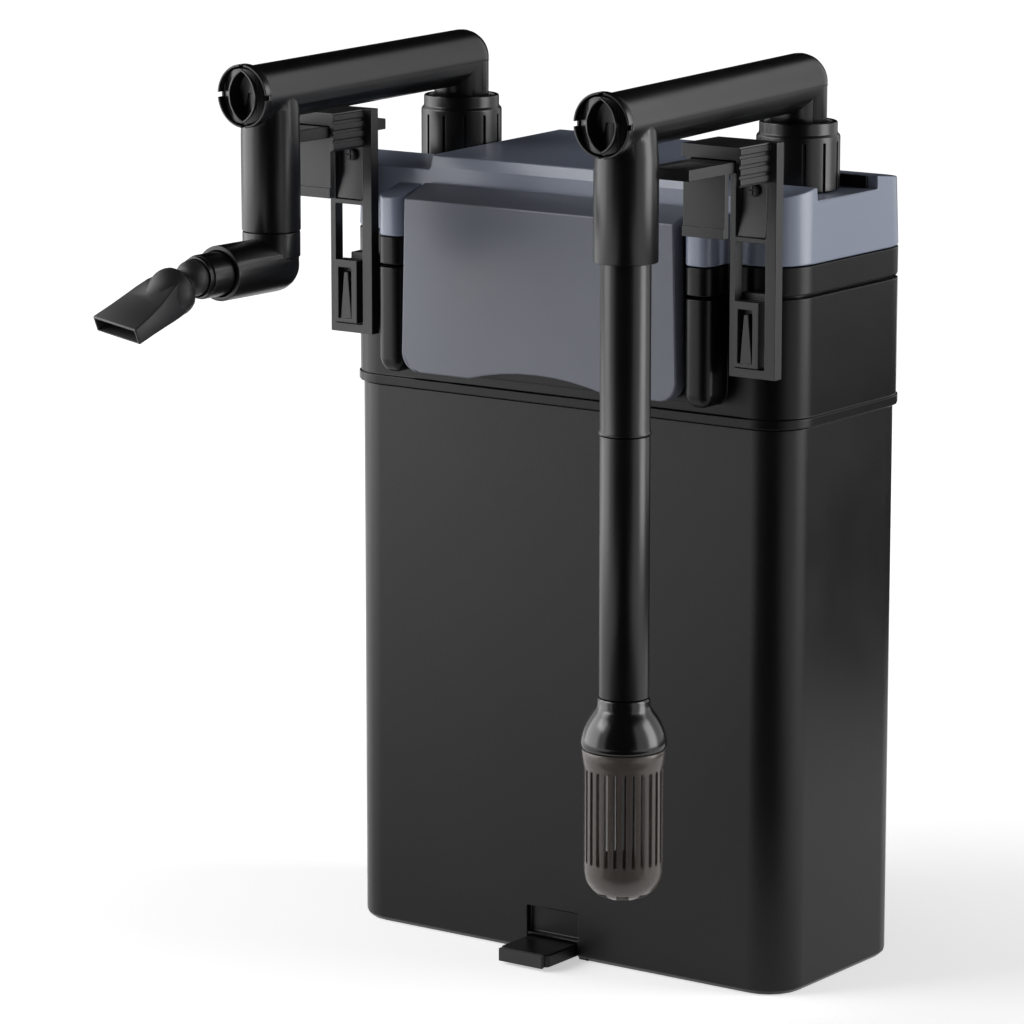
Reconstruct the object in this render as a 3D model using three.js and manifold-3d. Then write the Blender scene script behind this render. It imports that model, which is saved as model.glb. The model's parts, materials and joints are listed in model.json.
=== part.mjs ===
// Hang-on canister filter for an aquarium, in millimetres, +Z up.
// The origin is the middle of the canister's flat bottom face. +X is the suction side,
// -Y is the side that faces the tank.
import * as THREE from 'three';
import { mergeVertices } from 'three/addons/utils/BufferGeometryUtils.js';
import Module from 'manifold-3d';

const wasm = await Module();
wasm.setup();

// ---------------------------------------------------------------- driving dimensions
const GAP = 0.3; // running and seating clearance between separate pieces
const OVERCUT = 1; // how far a cutting body runs past the face that it cuts

const CAN = { width: 174, depth: 74, height: 186, radius: 13.3, wall: 2.4, floor: 3, chamfer: 1.6 };
const RIM = CAN.height; // heights above the canister are set from its rim
const SIDE = CAN.width / 2; // places across the canister are set from its side faces
const FRONT = -CAN.depth / 2; // places in front are set from its front face

const FOOT = {
  x: -3, width: 19.5, thickness: 4.4, underside: 1, reach: 18.5, tail: 18, pad: 1.5, padInset: 1,
  flange: 1.6, flangeThickness: 1.6, out: 8, in: 14, cornerRadius: 2, lug: 1.2, housingWall: 2,
};
const POCKET = { width: 20.6, bottom: 6.6, top: 15.7, depth: 2.4, backing: 2.1 };

const HEAD = {
  overhang: 1.1, lipProud: 0.5, lipHeight: 3.2, top: RIM + 42, wall: 2.3, plate: 2.8,
  skirtDepth: 11, skirtWall: 2.2,
};
const GROOVE = { above: 3, height: 3, depth: 1.2, squeeze: 0.1 };
const COLLAR = { groove: 1, top: RIM + 52.1, spigot: 3, spigotInset: 2.6, spigotWall: 1.8 };

const FLAP = {
  half: SIDE - 32.8, topInset: 1.3, front: FRONT - 14, bottom: RIM + 8.3, top: RIM + 65.4, wall: 2.2,
  depth: 5.6, corner: 6.5, scoopHalf: 27, scoopRise: 3.6,
  topBack: FRONT - 2.2, topBackZ: RIM + 69.7, roof: 1.6,
};
const HINGE = {
  y: FRONT - 7, z: RIM + 64.2, pin: 1, knuckle: 2.3, length: 9, x: SIDE - 61, anchor: 3.6, grooveGap: 0.4,
};
const COLUMN = { play: 1.2, width: 10, front: FRONT - 13, bottom: RIM + 7, radius: 3.6, root: 4.9 };
const COLUMN_INNER = FLAP.half + COLUMN.play;
const COLUMN_OUTER = COLUMN_INNER + COLUMN.width;
const COLUMN_FOOT = [[3.4, 0], [1.8, 0.9], [0.7, 2.4], [0, 4.6]]; // inset and height of its rounded foot
const APRON = { halfWidth: COLUMN_INNER + 1.6, front: FRONT - 6.5, bottom: RIM + 7.6 };

const RISER = { x: SIDE - 20.2, radius: 9.2, bore: 7, bottom: RIM + 76.6 };
const NUT = {
  radius: 13.5, crownRadius: 12.6, bottom: RIM + 72.5, shoulder: RIM + 90.4, top: RIM + 94.4, lip: 2.2,
  bore: 11.6, slits: 12, slitWidth: 0.9, slitDepth: 0.8, slitEnd: 2.2, slitTurn: 0.35, round: 0.7, play: 0.4,
};
const STUB = { radius: 11.1, socket: 9.6, top: RIM + 88.8, bore: 7, dropBore: 5.8 };
const SEAL = { height: 2.4 };

const COVER = {
  draft: 1, wall: 2.4, columnTop: RIM + 65.2, shoulder: RIM + 70.2, ridge: RIM + 73.9,
  deckFront: RIM + 78.4, deckBack: RIM + 80, deckSetback: 2.2, deckHalf: RISER.x - NUT.radius - 1,
  ridgeSetback: 0.5, wingDrop: 0.9, wingFront: RIM + 76.4, wingFrontY: -NUT.radius - 8.5,
  bayFloor: RIM + 72.2,
  bayFront: -NUT.radius - 7, bayBack: NUT.radius + 2.1, wingBack: RIM + 73.5, deckWall: 3,
};
const LINER = { thickness: 1.2, inset: 3.2, drop: 0.2 };

const ARM = { axisZ: RIM + 106.8, fall: 1.6, splay: 1.15, radius: 9.2, bore: 7, reach: 100.7 };
const TEE = {
  end: ARM.reach + 14.1, collarRadius: 10.2, collarLength: 6.4, notches: 4, notchWidth: 1.6, notchDepth: 2.2,
  rimWall: 0.8,
};
const PLUG = { length: 8, lensWidth: 12, lensHeight: 17.2, lensDepth: 6.4 };
const LEG = {
  intakeRadius: 10, outletRadius: 9.5, intakeBottom: RIM + 60.7, outletBottom: RIM + 59.5,
  socketTop: RIM + 96.5,
};
const TUBE = {
  radius: 7.85, bore: 6.3, top: RIM + 78.7, joint: RIM + 7.4, bottom: RIM - 75.2, spigot: 8, spigotWall: 1.1,
  collar: 0.35, collarHeight: 1.2,
};
const BULB = { bottom: RIM - 91.4, wall: 1.7, radius: 13.5, neck: 0.1, neckBore: 4.9 };
const BULB_SHOULDER = [[0.5, 0], [0, 1.2], [0.3, 3.4], [1.7, 6.6], [3.4, 8.8]]; // inset and height
const BULB_NECK = [[1.1, 10.6], [0.9, 11.8], [0, 12.6]]; // growth of the neck and height
const CAGE = {
  ringRadius: 13.1, ringHeight: 5.1, ringStep: 0.5, radius: 12.3, wall: 1.4, domeTop: 40.2, bottom: 48.1,
  slots: 26, slotWidth: 1.15, slotTop: 6.2, slotBottom: 36.3,
  windows: 6, windowIn: 3.6, windowOut: 8.4, windowWidth: 2.8, windowDepth: 4,
};
const CAGE_DOME = [[4.6, 0], [8.2, 1.3], [10.8, 3.8]]; // radius and height of the dome's outside
const CAGE_DOME_ROOM = [[4.2, 1.4], [7.4, 2.7], [9.6, 4.9]]; // and of its inside

const ELBOW = {
  axisZ: LEG.outletBottom - 11.1, radius: 8.9, bore: 6.6, reach: 26.6, spigot: 13, collar: 0.4, collarFrom: 2,
};
const SOCKET = { radius: 7.1, length: 11.2, tail: 9, ballOut: 1.2, lip: 1.2 };
const NOZZLE = {
  ball: 5.9, bore: 3.4, neck: 4.6, neckFrom: 2, neckTo: 6.6, skinFrom: 5.1, roomFrom: 6.4, boreTo: 9,
  length: 33.5, mouthHalf: 10.7, mouthHalfHeight: 2.3, wall: 1, yaw: -12, pitch: 24, roll: 6, points: 32,
};
// Distance from the ball, half width, half height and squareness of the nozzle's sections.
const NOZZLE_SECTIONS = [
  [5.2, 5.4, 5.4, 2], [7.4, 6.9, 6.9, 2], [11.5, 7.3, 7.1, 2], [15.5, 7.9, 5.9, 2.3],
  [20, 8.9, 4.1, 3], [26, 9.9, 3, 4.5], [NOZZLE.length, NOZZLE.mouthHalf, NOZZLE.mouthHalfHeight, 6],
];

const FRAME = {
  x: SIDE - 7.9, width: 17.2, front: FRONT - 8.3, thickness: 4, bottom: RIM + 18, top: RIM + 93,
  leftRail: 2.2, rightRail: 4, lowerBottom: RIM + 20.9, lowerTop: RIM + 60.9, upperBottom: RIM + 62.4,
  upperTop: RIM + 83.1,
};
const HOUSING = {
  front: FRONT - 25, left: -16, cheek: 1.4, gripBottom: RIM + 80.4, innerBottom: RIM + 82.4, ribs: 4,
  ribProud: 0.5, ribShare: 0.62,
};
const TONGUE = {
  left: -12.1, right: 3.9, bottom: RIM + 84.8, top: RIM + 88.4,
  tip: 3.2 + LEG.intakeRadius - ARM.reach, tail: FRONT - 0.5,
};
const RACK = { left: -9, right: 1, depth: 0.7, teeth: 12, pitch: 1.6, start: 1.6 };
const HOOK = {
  left: -11.6, front: FRONT - 30.6, thickness: 2.3, bottom: RIM + 64.8, lip: 3.4, lipProud: 0.5,
  leftSetIn: 6.5,
};
const CLIP = {
  width: 9, front: FRONT - 9.2, bottom: RIM + 21.3, height: 21, recessDepth: 3, wall: 1.3, sideWall: 2.3,
  topWall: 2.6, wedgeFoot: 2.3, wedgeTip: 0.8, wedgeShort: 1.6, wedgeSetback: 0.6, wedgeShift: 0.5,
  saddleLeft: -7.5, saddleRight: 8.3, saddleBottom: RIM + 27, saddleTop: RIM + 44.4, root: 8, footRoot: 2,
};
const PAD = {
  thickness: 1.3, footInset: 0.5, screw: 2.1, screwHead: 1, stem: 1, screwX: 5.2, screwDrop: 2.8, seat: 0.5,
};

const PUMP = {
  x: -20, volute: 24, voluteWall: 2.2, voluteDepth: 18, well: 10.4, wellWall: 1.8, wellTop: RIM + 40,
  wellRoof: 2,
  rotor: 9.3, rotorBottom: RIM + 6.5, rotorTop: RIM + 34, rotorPlay: 0.4, wheel: 18.5, blades: 6,
  bladeThickness: 1.6, bladeClear: 2, disc: 15.5, discThickness: 1.6, hub: 5, shaft: 1.5, shaftSeat: 0.8,
  bushWall: 2, bushPlay: 0.2, bush: 3, cover: 2.2, coverHub: 1.6, eye: 9, spoke: 1.8,
  channelHalf: 8, channelWall: 2, stator: 44, statorDepth: 40, statorRadius: 4, statorTop: RIM + 36,
};
const DROP = { radius: 9, bore: 7, foot: 8, flange: 2, window: 9 };
const BASKET = {
  wall: 1.8, clearance: 1.2, lowerBottom: 24, height: (RIM - 54) / 2, floor: 2.2, channel: 13.5,
  channelOpen: 20, slots: 7, slotPitch: 17, slotWidth: 10, slotHalf: -FRONT - 15, firstSlot: 21 - SIDE,
  legX: SIDE - 25, legY: -FRONT - 10, leg: 7,
};
const MEDIA = { coarse: 34, fineTop: BASKET.height - 4, carbon: BASKET.height - 10 };
const GLAND = {
  x: 34, z: RIM + 22, radius: 5.2, length: 6.5, root: 3, nutRadius: 7,
  nutLength: 3.4, bore: 2.6,
};

const ROUND = 28; // sides of a pipe
const FINE = 20; // sides of a small round part
const SMALL = 12; // sides of a pin or a bush
const WIDE = 36; // sides of the volute and the nuts

// ---------------------------------------------------------------- materials
const finish = (color, roughness, metalness = 0) =>
  new THREE.MeshStandardMaterial({ color, roughness, metalness });
const BLACK = finish(0x1c1c1f, 0.45);
const HEAD_BLACK = finish(0x19191b, 0.4);
const PIPE_BLACK = finish(0x161617, 0.3);
const GREY_BLUE = finish(0x6f7482, 0.38);
const BRACKET_BLACK = finish(0x2c2c2e, 0.5);
const SMOKE = finish(0x4a4440, 0.25);
const NOZZLE_GREY = finish(0x333334, 0.5);
const RUBBER = finish(0x202020, 0.85);
const STEEL = finish(0xb8bcc0, 0.25, 1);
const CERAMIC = finish(0xe6e2da, 0.5);
const RESIN = finish(0x3a3a3e, 0.7);
const FERRITE = finish(0x2a2a2c, 0.6);
const BASKET_GREY = finish(0x8a8d90, 0.6);
const FOAM_BLUE = finish(0x2f5f8f, 0.95);
const FOAM_WHITE = finish(0xe8e8e4, 0.95);
const CARBON = finish(0x242424, 0.95);

// ---------------------------------------------------------------- solid helpers
function solid(geometry) {
  const bare = geometry.index ? geometry.toNonIndexed() : geometry.clone();
  bare.deleteAttribute('normal');
  bare.deleteAttribute('uv');
  const merged = mergeVertices(bare, 1e-4);
  return new wasm.Manifold(new wasm.Mesh({
    numProp: 3,
    vertProperties: new Float32Array(merged.attributes.position.array),
    triVerts: new Uint32Array(merged.index.array),
  }));
}

function geometryOf(body) {
  const mesh = body.getMesh();
  const geometry = new THREE.BufferGeometry();
  geometry.setAttribute('position', new THREE.BufferAttribute(new Float32Array(mesh.vertProperties), 3));
  geometry.setIndex(new THREE.BufferAttribute(new Uint32Array(mesh.triVerts), 1));
  geometry.computeVertexNormals();
  return geometry;
}

function piece(name, body, material) {
  const mesh = new THREE.Mesh(geometryOf(body), material);
  mesh.name = name;
  return mesh;
}

const join = (...bodies) => bodies.reduce((whole, next) => whole.add(next));
const cut = (body, ...tools) => tools.reduce((whole, tool) => whole.subtract(tool), body);

// A block between two corners.
function block(x0, x1, y0, y1, z0, z1) {
  const geometry = new THREE.BoxGeometry(x1 - x0, y1 - y0, z1 - z0);
  geometry.translate((x0 + x1) / 2, (y0 + y1) / 2, (z0 + z1) / 2);
  return solid(geometry);
}

// A round bar along Z, X or Y from start to end.
function bar(axis, radius, start, end, across = [0, 0], sides = ROUND) {
  const geometry = new THREE.CylinderGeometry(radius, radius, end - start, sides);
  const middle = (start + end) / 2;
  if (axis === 'z') geometry.rotateX(Math.PI / 2).translate(across[0], across[1], middle);
  if (axis === 'x') geometry.rotateZ(-Math.PI / 2).translate(middle, across[0], across[1]);
  if (axis === 'y') geometry.translate(across[0], middle, across[1]);
  return solid(geometry);
}

// A turned body about Z from [radius, z] points, listed from bottom to top.
function turned(points, sides = ROUND) {
  const geometry = new THREE.LatheGeometry(points.map(([r, z]) => new THREE.Vector2(r, z)), sides);
  geometry.rotateX(Math.PI / 2);
  return solid(geometry);
}

// A ring about Z between two radii.
const ring = (outer, inner, z0, z1, sides = ROUND) =>
  cut(bar('z', outer, z0, z1, [0, 0], sides), bar('z', inner, z0 - 1, z1 + 1, [0, 0], sides));

// A closed skin over a stack of like rings of points.
function loft(rings) {
  const count = rings[0].length;
  const positions = [];
  const face = (a, b, c) => positions.push(...a, ...b, ...c);
  const centre = (points) => [0, 1, 2].map((k) => points.reduce((sum, p) => sum + p[k], 0) / count);
  for (let level = 0; level + 1 < rings.length; level += 1) {
    for (let i = 0; i < count; i += 1) {
      const j = (i + 1) % count;
      face(rings[level][i], rings[level][j], rings[level + 1][j]);
      face(rings[level][i], rings[level + 1][j], rings[level + 1][i]);
    }
  }
  const low = centre(rings[0]);
  const high = centre(rings.at(-1));
  for (let i = 0; i < count; i += 1) {
    const j = (i + 1) % count;
    face(rings[0][j], rings[0][i], low);
    face(rings.at(-1)[i], rings.at(-1)[j], high);
  }
  const geometry = new THREE.BufferGeometry();
  geometry.setAttribute('position', new THREE.BufferAttribute(new Float32Array(positions), 3));
  return solid(geometry);
}

// One ring of a box with round upright corners, at height z.
function roundedRing(width, depth, radius, z, [x, y] = [0, 0], steps = 5) {
  const points = [];
  for (let corner = 0; corner < 4; corner += 1) {
    const cx = x + (corner === 0 || corner === 3 ? 1 : -1) * (width / 2 - radius);
    const cy = y + (corner < 2 ? 1 : -1) * (depth / 2 - radius);
    for (let step = 0; step <= steps; step += 1) {
      const angle = (Math.PI / 2) * (corner + step / steps);
      points.push([cx + radius * Math.cos(angle), cy + radius * Math.sin(angle), z]);
    }
  }
  return points;
}

// A box with round upright corners, grown by an amount all round.
function roundedBox(width, depth, radius, z0, z1, grow = 0, centre = [0, 0]) {
  const at = (z) => roundedRing(width + 2 * grow, depth + 2 * grow, Math.max(radius + grow, 0.4), z, centre);
  return loft([at(z0), at(z1)]);
}

// A prism with a profile of [y, z] points, between two X values.
function prismX(points, x0, x1) {
  const shape = new THREE.Shape(points.map(([y, z]) => new THREE.Vector2(y, z)));
  const geometry = new THREE.ExtrudeGeometry(shape, { depth: x1 - x0, bevelEnabled: false });
  geometry.applyMatrix4(new THREE.Matrix4().set(0, 0, 1, x0, 1, 0, 0, 0, 0, 1, 0, 0, 0, 0, 0, 1));
  return solid(geometry);
}

// A prism with an outline of [x, z] points, between two Y values.
function prismY(shape, y0, y1, curveSegments = 8) {
  const geometry = new THREE.ExtrudeGeometry(shape, { depth: y1 - y0, bevelEnabled: false, curveSegments });
  geometry.applyMatrix4(new THREE.Matrix4().set(1, 0, 0, 0, 0, 0, -1, y1, 0, 1, 0, 0, 0, 0, 0, 1));
  return solid(geometry);
}

const turnX = (body, degrees, [y, z]) =>
  body.translate([0, -y, -z]).rotate([degrees, 0, 0]).translate([0, y, z]);

// ---------------------------------------------------------------- canister and foot
const FOOT_TOP = FOOT.underside + FOOT.thickness;
const FOOT_MIDDLE = FOOT.underside + FOOT.thickness / 2;
const FOOT_FRONT = FRONT - FOOT.reach;
const FOOT_TAIL = FRONT + FOOT.tail;
const RUNWAY_END = FOOT_TAIL + FOOT.in + GAP;

// The canister's outline grown by an amount, as one ring at a height.
const canRing = (grow, z) =>
  roundedRing(CAN.width + 2 * grow, CAN.depth + 2 * grow, CAN.radius + grow, z);

function canister() {
  const outside = loft([canRing(-CAN.chamfer, 0), canRing(0, CAN.chamfer), canRing(0, CAN.height)]);
  const inside = roundedBox(CAN.width, CAN.depth, CAN.radius, CAN.floor, CAN.height + OVERCUT, -CAN.wall);
  const wide = FOOT.width / 2 + FOOT.flange + GAP;
  const housing = block(FOOT.x - wide - FOOT.housingWall, FOOT.x + wide + FOOT.housingWall, FRONT + 1,
    RUNWAY_END + FOOT.housingWall, 0, POCKET.top + POCKET.backing);
  const pocket = block(FOOT.x - POCKET.width / 2, FOOT.x + POCKET.width / 2, FRONT - OVERCUT,
    FRONT + POCKET.depth, POCKET.bottom, POCKET.top);
  const runway = block(FOOT.x - FOOT.width / 2 - GAP, FOOT.x + FOOT.width / 2 + GAP, FRONT - OVERCUT,
    RUNWAY_END, -OVERCUT, FOOT_TOP + GAP);
  const groove = block(FOOT.x - wide, FOOT.x + wide, FRONT + FOOT.lug, RUNWAY_END,
    FOOT_MIDDLE - FOOT.flangeThickness / 2 - GAP, FOOT_MIDDLE + FOOT.flangeThickness / 2 + GAP);
  return piece('canister', cut(join(cut(outside, inside), housing), pocket, runway, groove), BLACK);
}

function levellingFoot() {
  const front = FOOT_FRONT + FOOT.pad + GAP;
  const ringAt = (z) => roundedRing(FOOT.width, FOOT_TAIL - front, FOOT.cornerRadius, z,
    [FOOT.x, (front + FOOT_TAIL) / 2]);
  const slide = loft([ringAt(FOOT.underside), ringAt(FOOT_TOP)]);
  const flange = block(FOOT.x - FOOT.width / 2 - FOOT.flange, FOOT.x + FOOT.width / 2 + FOOT.flange,
    FRONT + FOOT.lug + FOOT.out + GAP, FOOT_TAIL,
    FOOT_MIDDLE - FOOT.flangeThickness / 2, FOOT_MIDDLE + FOOT.flangeThickness / 2);
  return piece('levelling_foot', join(slide, flange), BLACK);
}

function footPad() {
  const half = FOOT.width / 2 - FOOT.padInset;
  const pad = block(FOOT.x - half, FOOT.x + half, FOOT_FRONT, FOOT_FRONT + FOOT.pad,
    FOOT.underside, FOOT_TOP);
  return piece('foot_pad', pad, RUBBER);
}

// ---------------------------------------------------------------- media inside the canister
const INNER_W = CAN.width - 2 * CAN.wall;
const INNER_D = CAN.depth - 2 * CAN.wall;
const BASKET_W = INNER_W - 2 * BASKET.clearance;
const BASKET_D = INNER_D - 2 * BASKET.clearance;
const BASKET_R = CAN.radius - CAN.wall - BASKET.clearance;

// The open-ended passage in a basket through which the drop tube runs.
function passage(grow, z0, z1) {
  const half = BASKET.channel + grow;
  return block(RISER.x - half, RISER.x + half + BASKET.channelOpen, -half, half, z0 - OVERCUT, z1 + OVERCUT);
}

function basket(name, bottom, legs = false) {
  const top = bottom + BASKET.height;
  const outside = roundedBox(BASKET_W, BASKET_D, BASKET_R, bottom, top);
  const inside = roundedBox(BASKET_W, BASKET_D, BASKET_R, bottom + BASKET.floor, top + OVERCUT, -BASKET.wall);
  const shell = cut(outside, cut(inside, passage(BASKET.wall, bottom, top)), passage(0, bottom, top));
  const slots = [];
  for (let i = 0; i < BASKET.slots; i += 1) {
    const x = BASKET.firstSlot + i * BASKET.slotPitch;
    slots.push(block(x - BASKET.slotWidth / 2, x + BASKET.slotWidth / 2, -BASKET.slotHalf, BASKET.slotHalf,
      bottom - OVERCUT, bottom + BASKET.floor + OVERCUT));
  }
  const grid = cut(shell, ...slots);
  if (!legs) return piece(name, grid, BASKET_GREY);
  const posts = [];
  for (const sx of [-1, 1]) {
    for (const sy of [-1, 1]) {
      const [x, y] = [sx * BASKET.legX, sy * BASKET.legY];
      posts.push(block(x - BASKET.leg / 2, x + BASKET.leg / 2, y - BASKET.leg / 2, y + BASKET.leg / 2,
        CAN.floor + GAP, bottom + BASKET.floor / 2));
    }
  }
  return piece(name, join(grid, ...posts), BASKET_GREY);
}

// A block of filter medium that lies in a basket, from one height above its floor to another.
function media(name, basketBottom, low, high, material) {
  const z0 = basketBottom + BASKET.floor + GAP + low;
  const z1 = basketBottom + BASKET.floor + high;
  const shape = roundedBox(BASKET_W, BASKET_D, BASKET_R, z0, z1, -BASKET.wall - GAP);
  return piece(name, cut(shape, passage(BASKET.wall + GAP, z0, z1)), material);
}

function dropTube() {
  const top = CAN.height - GAP;
  const tube = cut(bar('z', DROP.radius, CAN.floor + GAP, top), bar('z', DROP.bore, 0, top + OVERCUT));
  const window = block(-2 * DROP.radius, 0, -DROP.window / 2, DROP.window / 2, 0, CAN.floor + DROP.foot);
  const flange = ring(DROP.radius + DROP.flange, DROP.bore, top - DROP.flange, top);
  return piece('drop_tube', cut(join(tube, flange), window), BASKET_GREY);
}

// ---------------------------------------------------------------- head
const LIP_BOTTOM = CAN.height + GAP;
const LIP_TOP = LIP_BOTTOM + HEAD.lipHeight;
const PLATE_TOP = LIP_BOTTOM + HEAD.plate;
const COLLAR_BOTTOM = HEAD.top + COLLAR.groove;
const COVER_BOTTOM = COLLAR.top + GAP;
const VOLUTE_BOTTOM = LIP_BOTTOM - PUMP.voluteDepth;
const FRONT_WALL = -CAN.depth / 2 - HEAD.overhang;
const PIN_HALF = COLUMN_INNER + HINGE.anchor;
const ROOM_FRONT = FRONT + 2 * COVER.deckWall;

// The plan of one upright column beside the flap, shrunk by an inset, as one ring at a height.
function columnRing(side, inset, z) {
  const back = FRONT + COLUMN.root;
  return roundedRing(COLUMN.width - 2 * inset, back - COLUMN.front - 2 * inset, COLUMN.radius - inset, z,
    [side * (COLUMN_INNER + COLUMN_OUTER) / 2, (back + COLUMN.front) / 2], 4);
}

const column = (side, z0, z1) => loft([columnRing(side, 0, z0), columnRing(side, 0, z1)]);

const footedColumn = (side, z0, z1) => loft([
  ...COLUMN_FOOT.map(([inset, rise]) => columnRing(side, inset, z0 + rise)),
  columnRing(side, 0, z1),
]);

// The column's top slopes up from its front edge to the cover.
function slopedColumn(side, z0, z1, slopeTo) {
  const back = FRONT + COLUMN.root + OVERCUT;
  const front = COLUMN.front - 2 * OVERCUT;
  const above = prismX([[front, z1 - OVERCUT], [COLUMN.front, z1], [back, slopeTo], [back, slopeTo + SIDE],
    [front, slopeTo + SIDE]], Math.min(0, side * SIDE), Math.max(0, side * SIDE));
  return cut(column(side, z0, slopeTo + 2 * OVERCUT), above);
}

const planBox = (z0, z1, grow = 0) =>
  roundedBox(CAN.width, CAN.depth, CAN.radius, z0, z1, HEAD.overhang + grow);

const apron = (z0, z1) =>
  block(-APRON.halfWidth, APRON.halfWidth, APRON.front, FRONT + COLUMN.root, z0, z1);

// The space inside the canister's wall shrunk by an inset, between two heights.
const plugBox = (z0, z1, inset) => roundedBox(INNER_W, INNER_D, CAN.radius - CAN.wall, z0, z1, -inset);

function headBase() {
  const lip = planBox(LIP_BOTTOM, LIP_TOP, HEAD.lipProud);
  const wall = planBox(LIP_TOP - GAP, HEAD.top);
  const columns = [-1, 1].map((side) => footedColumn(side, COLUMN.bottom, HEAD.top));
  const skirt = cut(
    plugBox(SKIRT_BOTTOM, LIP_BOTTOM + OVERCUT, GAP),
    plugBox(SKIRT_BOTTOM - OVERCUT, LIP_BOTTOM, GAP + HEAD.skirtWall),
    sealGroove(),
  );
  const volute = bar('z', PUMP.volute + PUMP.voluteWall, VOLUTE_BOTTOM, LIP_BOTTOM + OVERCUT,
    [PUMP.x, 0], WIDE);
  const channelSide = PUMP.channelHalf + PUMP.channelWall;
  const channel = block(-RISER.x - channelSide, PUMP.x, -PUMP.channelHalf, PUMP.channelHalf,
    VOLUTE_BOTTOM, LIP_BOTTOM + OVERCUT);
  const chamber = bar('z', PUMP.volute, VOLUTE_BOTTOM - OVERCUT, LIP_BOTTOM, [PUMP.x, 0], WIDE);
  const channelBore = block(-RISER.x - PUMP.channelHalf, PUMP.x, -PUMP.channelHalf + PUMP.channelWall,
    PUMP.channelHalf - PUMP.channelWall, VOLUTE_BOTTOM + PUMP.channelWall, LIP_BOTTOM - OVERCUT);
  const room = roundedBox(CAN.width, CAN.depth, CAN.radius, PLATE_TOP, HEAD.top + OVERCUT,
    HEAD.overhang - HEAD.wall);
  const through = [LIP_BOTTOM - 2 * OVERCUT, PLATE_TOP + OVERCUT];
  return piece('head_base', cut(
    join(lip, wall, ...columns, apron(APRON.bottom, HEAD.top), skirt, volute, channel),
    room,
    chamber,
    channelBore,
    bar('z', PUMP.well, LIP_BOTTOM - OVERCUT, PLATE_TOP + OVERCUT, [PUMP.x, 0]),
    bar('z', STUB.bore, ...through, [RISER.x, 0]),
    bar('z', STUB.dropBore, ...through, [-RISER.x, 0]),
    bar('y', GLAND.radius + GAP, -FRONT - 3 * HEAD.wall, -FRONT + 3 * HEAD.wall, [GLAND.x, GLAND.z], FINE),
  ), HEAD_BLACK);
}

const SKIRT_BOTTOM = LIP_BOTTOM - HEAD.skirtDepth;
const SEAL_Z = SKIRT_BOTTOM + GROOVE.above;

function sealGroove() {
  return cut(
    plugBox(SEAL_Z, SEAL_Z + GROOVE.height, -OVERCUT),
    plugBox(SEAL_Z - OVERCUT, SEAL_Z + GROOVE.height + OVERCUT, GAP + GROOVE.depth),
  );
}

function headSeal() {
  const band = cut(
    plugBox(SEAL_Z + GAP, SEAL_Z + GROOVE.height - GAP, GROOVE.squeeze),
    plugBox(SEAL_Z, SEAL_Z + GROOVE.height, GROOVE.depth),
  );
  return piece('head_seal', band, RUBBER);
}

function headCollar() {
  const columns = [-1, 1].map((side) => column(side, COLLAR_BOTTOM, COLLAR.top));
  const band = join(planBox(COLLAR_BOTTOM, COLLAR.top), ...columns, apron(COLLAR_BOTTOM, COLLAR.top));
  const spigot = planBox(HEAD.top - COLLAR.spigot, COLLAR_BOTTOM + OVERCUT, -COLLAR.spigotInset);
  const room = planBox(HEAD.top - COLLAR.spigot - OVERCUT, COLLAR.top + OVERCUT,
    -COLLAR.spigotInset - COLLAR.spigotWall);
  return piece('head_collar', cut(join(band, spigot), room), HEAD_BLACK);
}

function topCover() {
  const sky = COVER.deckBack + CAN.depth / 4;
  const far = CAN.depth / 2 + COLUMN.root;
  const tub = loft([canRing(HEAD.overhang, COVER_BOTTOM),
    canRing(HEAD.overhang - COVER.draft, COVER.deckBack + OVERCUT)]);
  const aboveDeck = prismX([[-far, COVER.ridge], [FRONT_WALL + COVER.ridgeSetback, COVER.ridge],
    [FRONT_WALL + COVER.deckSetback, COVER.deckFront], [far, COVER.deckBack], [far, sky], [-far, sky]],
  -COVER.deckHalf - OVERCUT, COVER.deckHalf + OVERCUT);
  const aboveWing = [[-far, COVER.ridge - COVER.wingDrop], [COVER.wingFrontY, COVER.wingFront],
    [COVER.bayFront, COVER.wingFront], [COVER.bayFront, COVER.bayFloor], [COVER.bayBack, COVER.bayFloor],
    [COVER.bayBack, COVER.wingFront], [far, COVER.wingBack], [far, sky], [-far, sky]];
  const columns = [-1, 1].map((side) => slopedColumn(side, COVER_BOTTOM, COVER.columnTop, COVER.shoulder));
  // The rear edge of the flap swings through this groove as the flap opens.
  const swing = Math.hypot(FLAP.topBack - HINGE.y, FLAP.topBackZ - HINGE.z) + HINGE.grooveGap;
  const groove = bar('x', swing, -FLAP.half - GAP, FLAP.half + GAP, [HINGE.y, HINGE.z], 48);
  const low = COVER_BOTTOM - OVERCUT;
  const deckRoom = prismX([[ROOM_FRONT, low], [ROOM_FRONT, COVER.deckFront - COVER.deckWall],
    [-FRONT - 2 * GAP - COVER.deckWall, COVER.deckBack - COVER.deckWall - GAP],
    [-FRONT - 2 * GAP - COVER.deckWall, low]], -COVER.deckHalf + COVER.wall, COVER.deckHalf - COVER.wall);
  const room = roundedBox(CAN.width, CAN.depth, CAN.radius, low, COVER.bayFloor - COVER.wall,
    HEAD.overhang - COVER.wall - COVER.draft);
  const well = (x) => bar('z', STUB.radius + GAP, low, sky, [x, 0]);
  return piece('top_cover', cut(
    join(cut(tub, groove), ...columns),
    aboveDeck,
    prismX(aboveWing, COVER.deckHalf, CAN.width),
    prismX(aboveWing, -CAN.width, -COVER.deckHalf),
    room,
    deckRoom,
    well(RISER.x),
    well(-RISER.x),
    bar('x', HINGE.pin + GAP, -PIN_HALF - GAP, PIN_HALF + GAP, [HINGE.y, HINGE.z], SMALL),
  ), GREY_BLUE);
}

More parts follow.
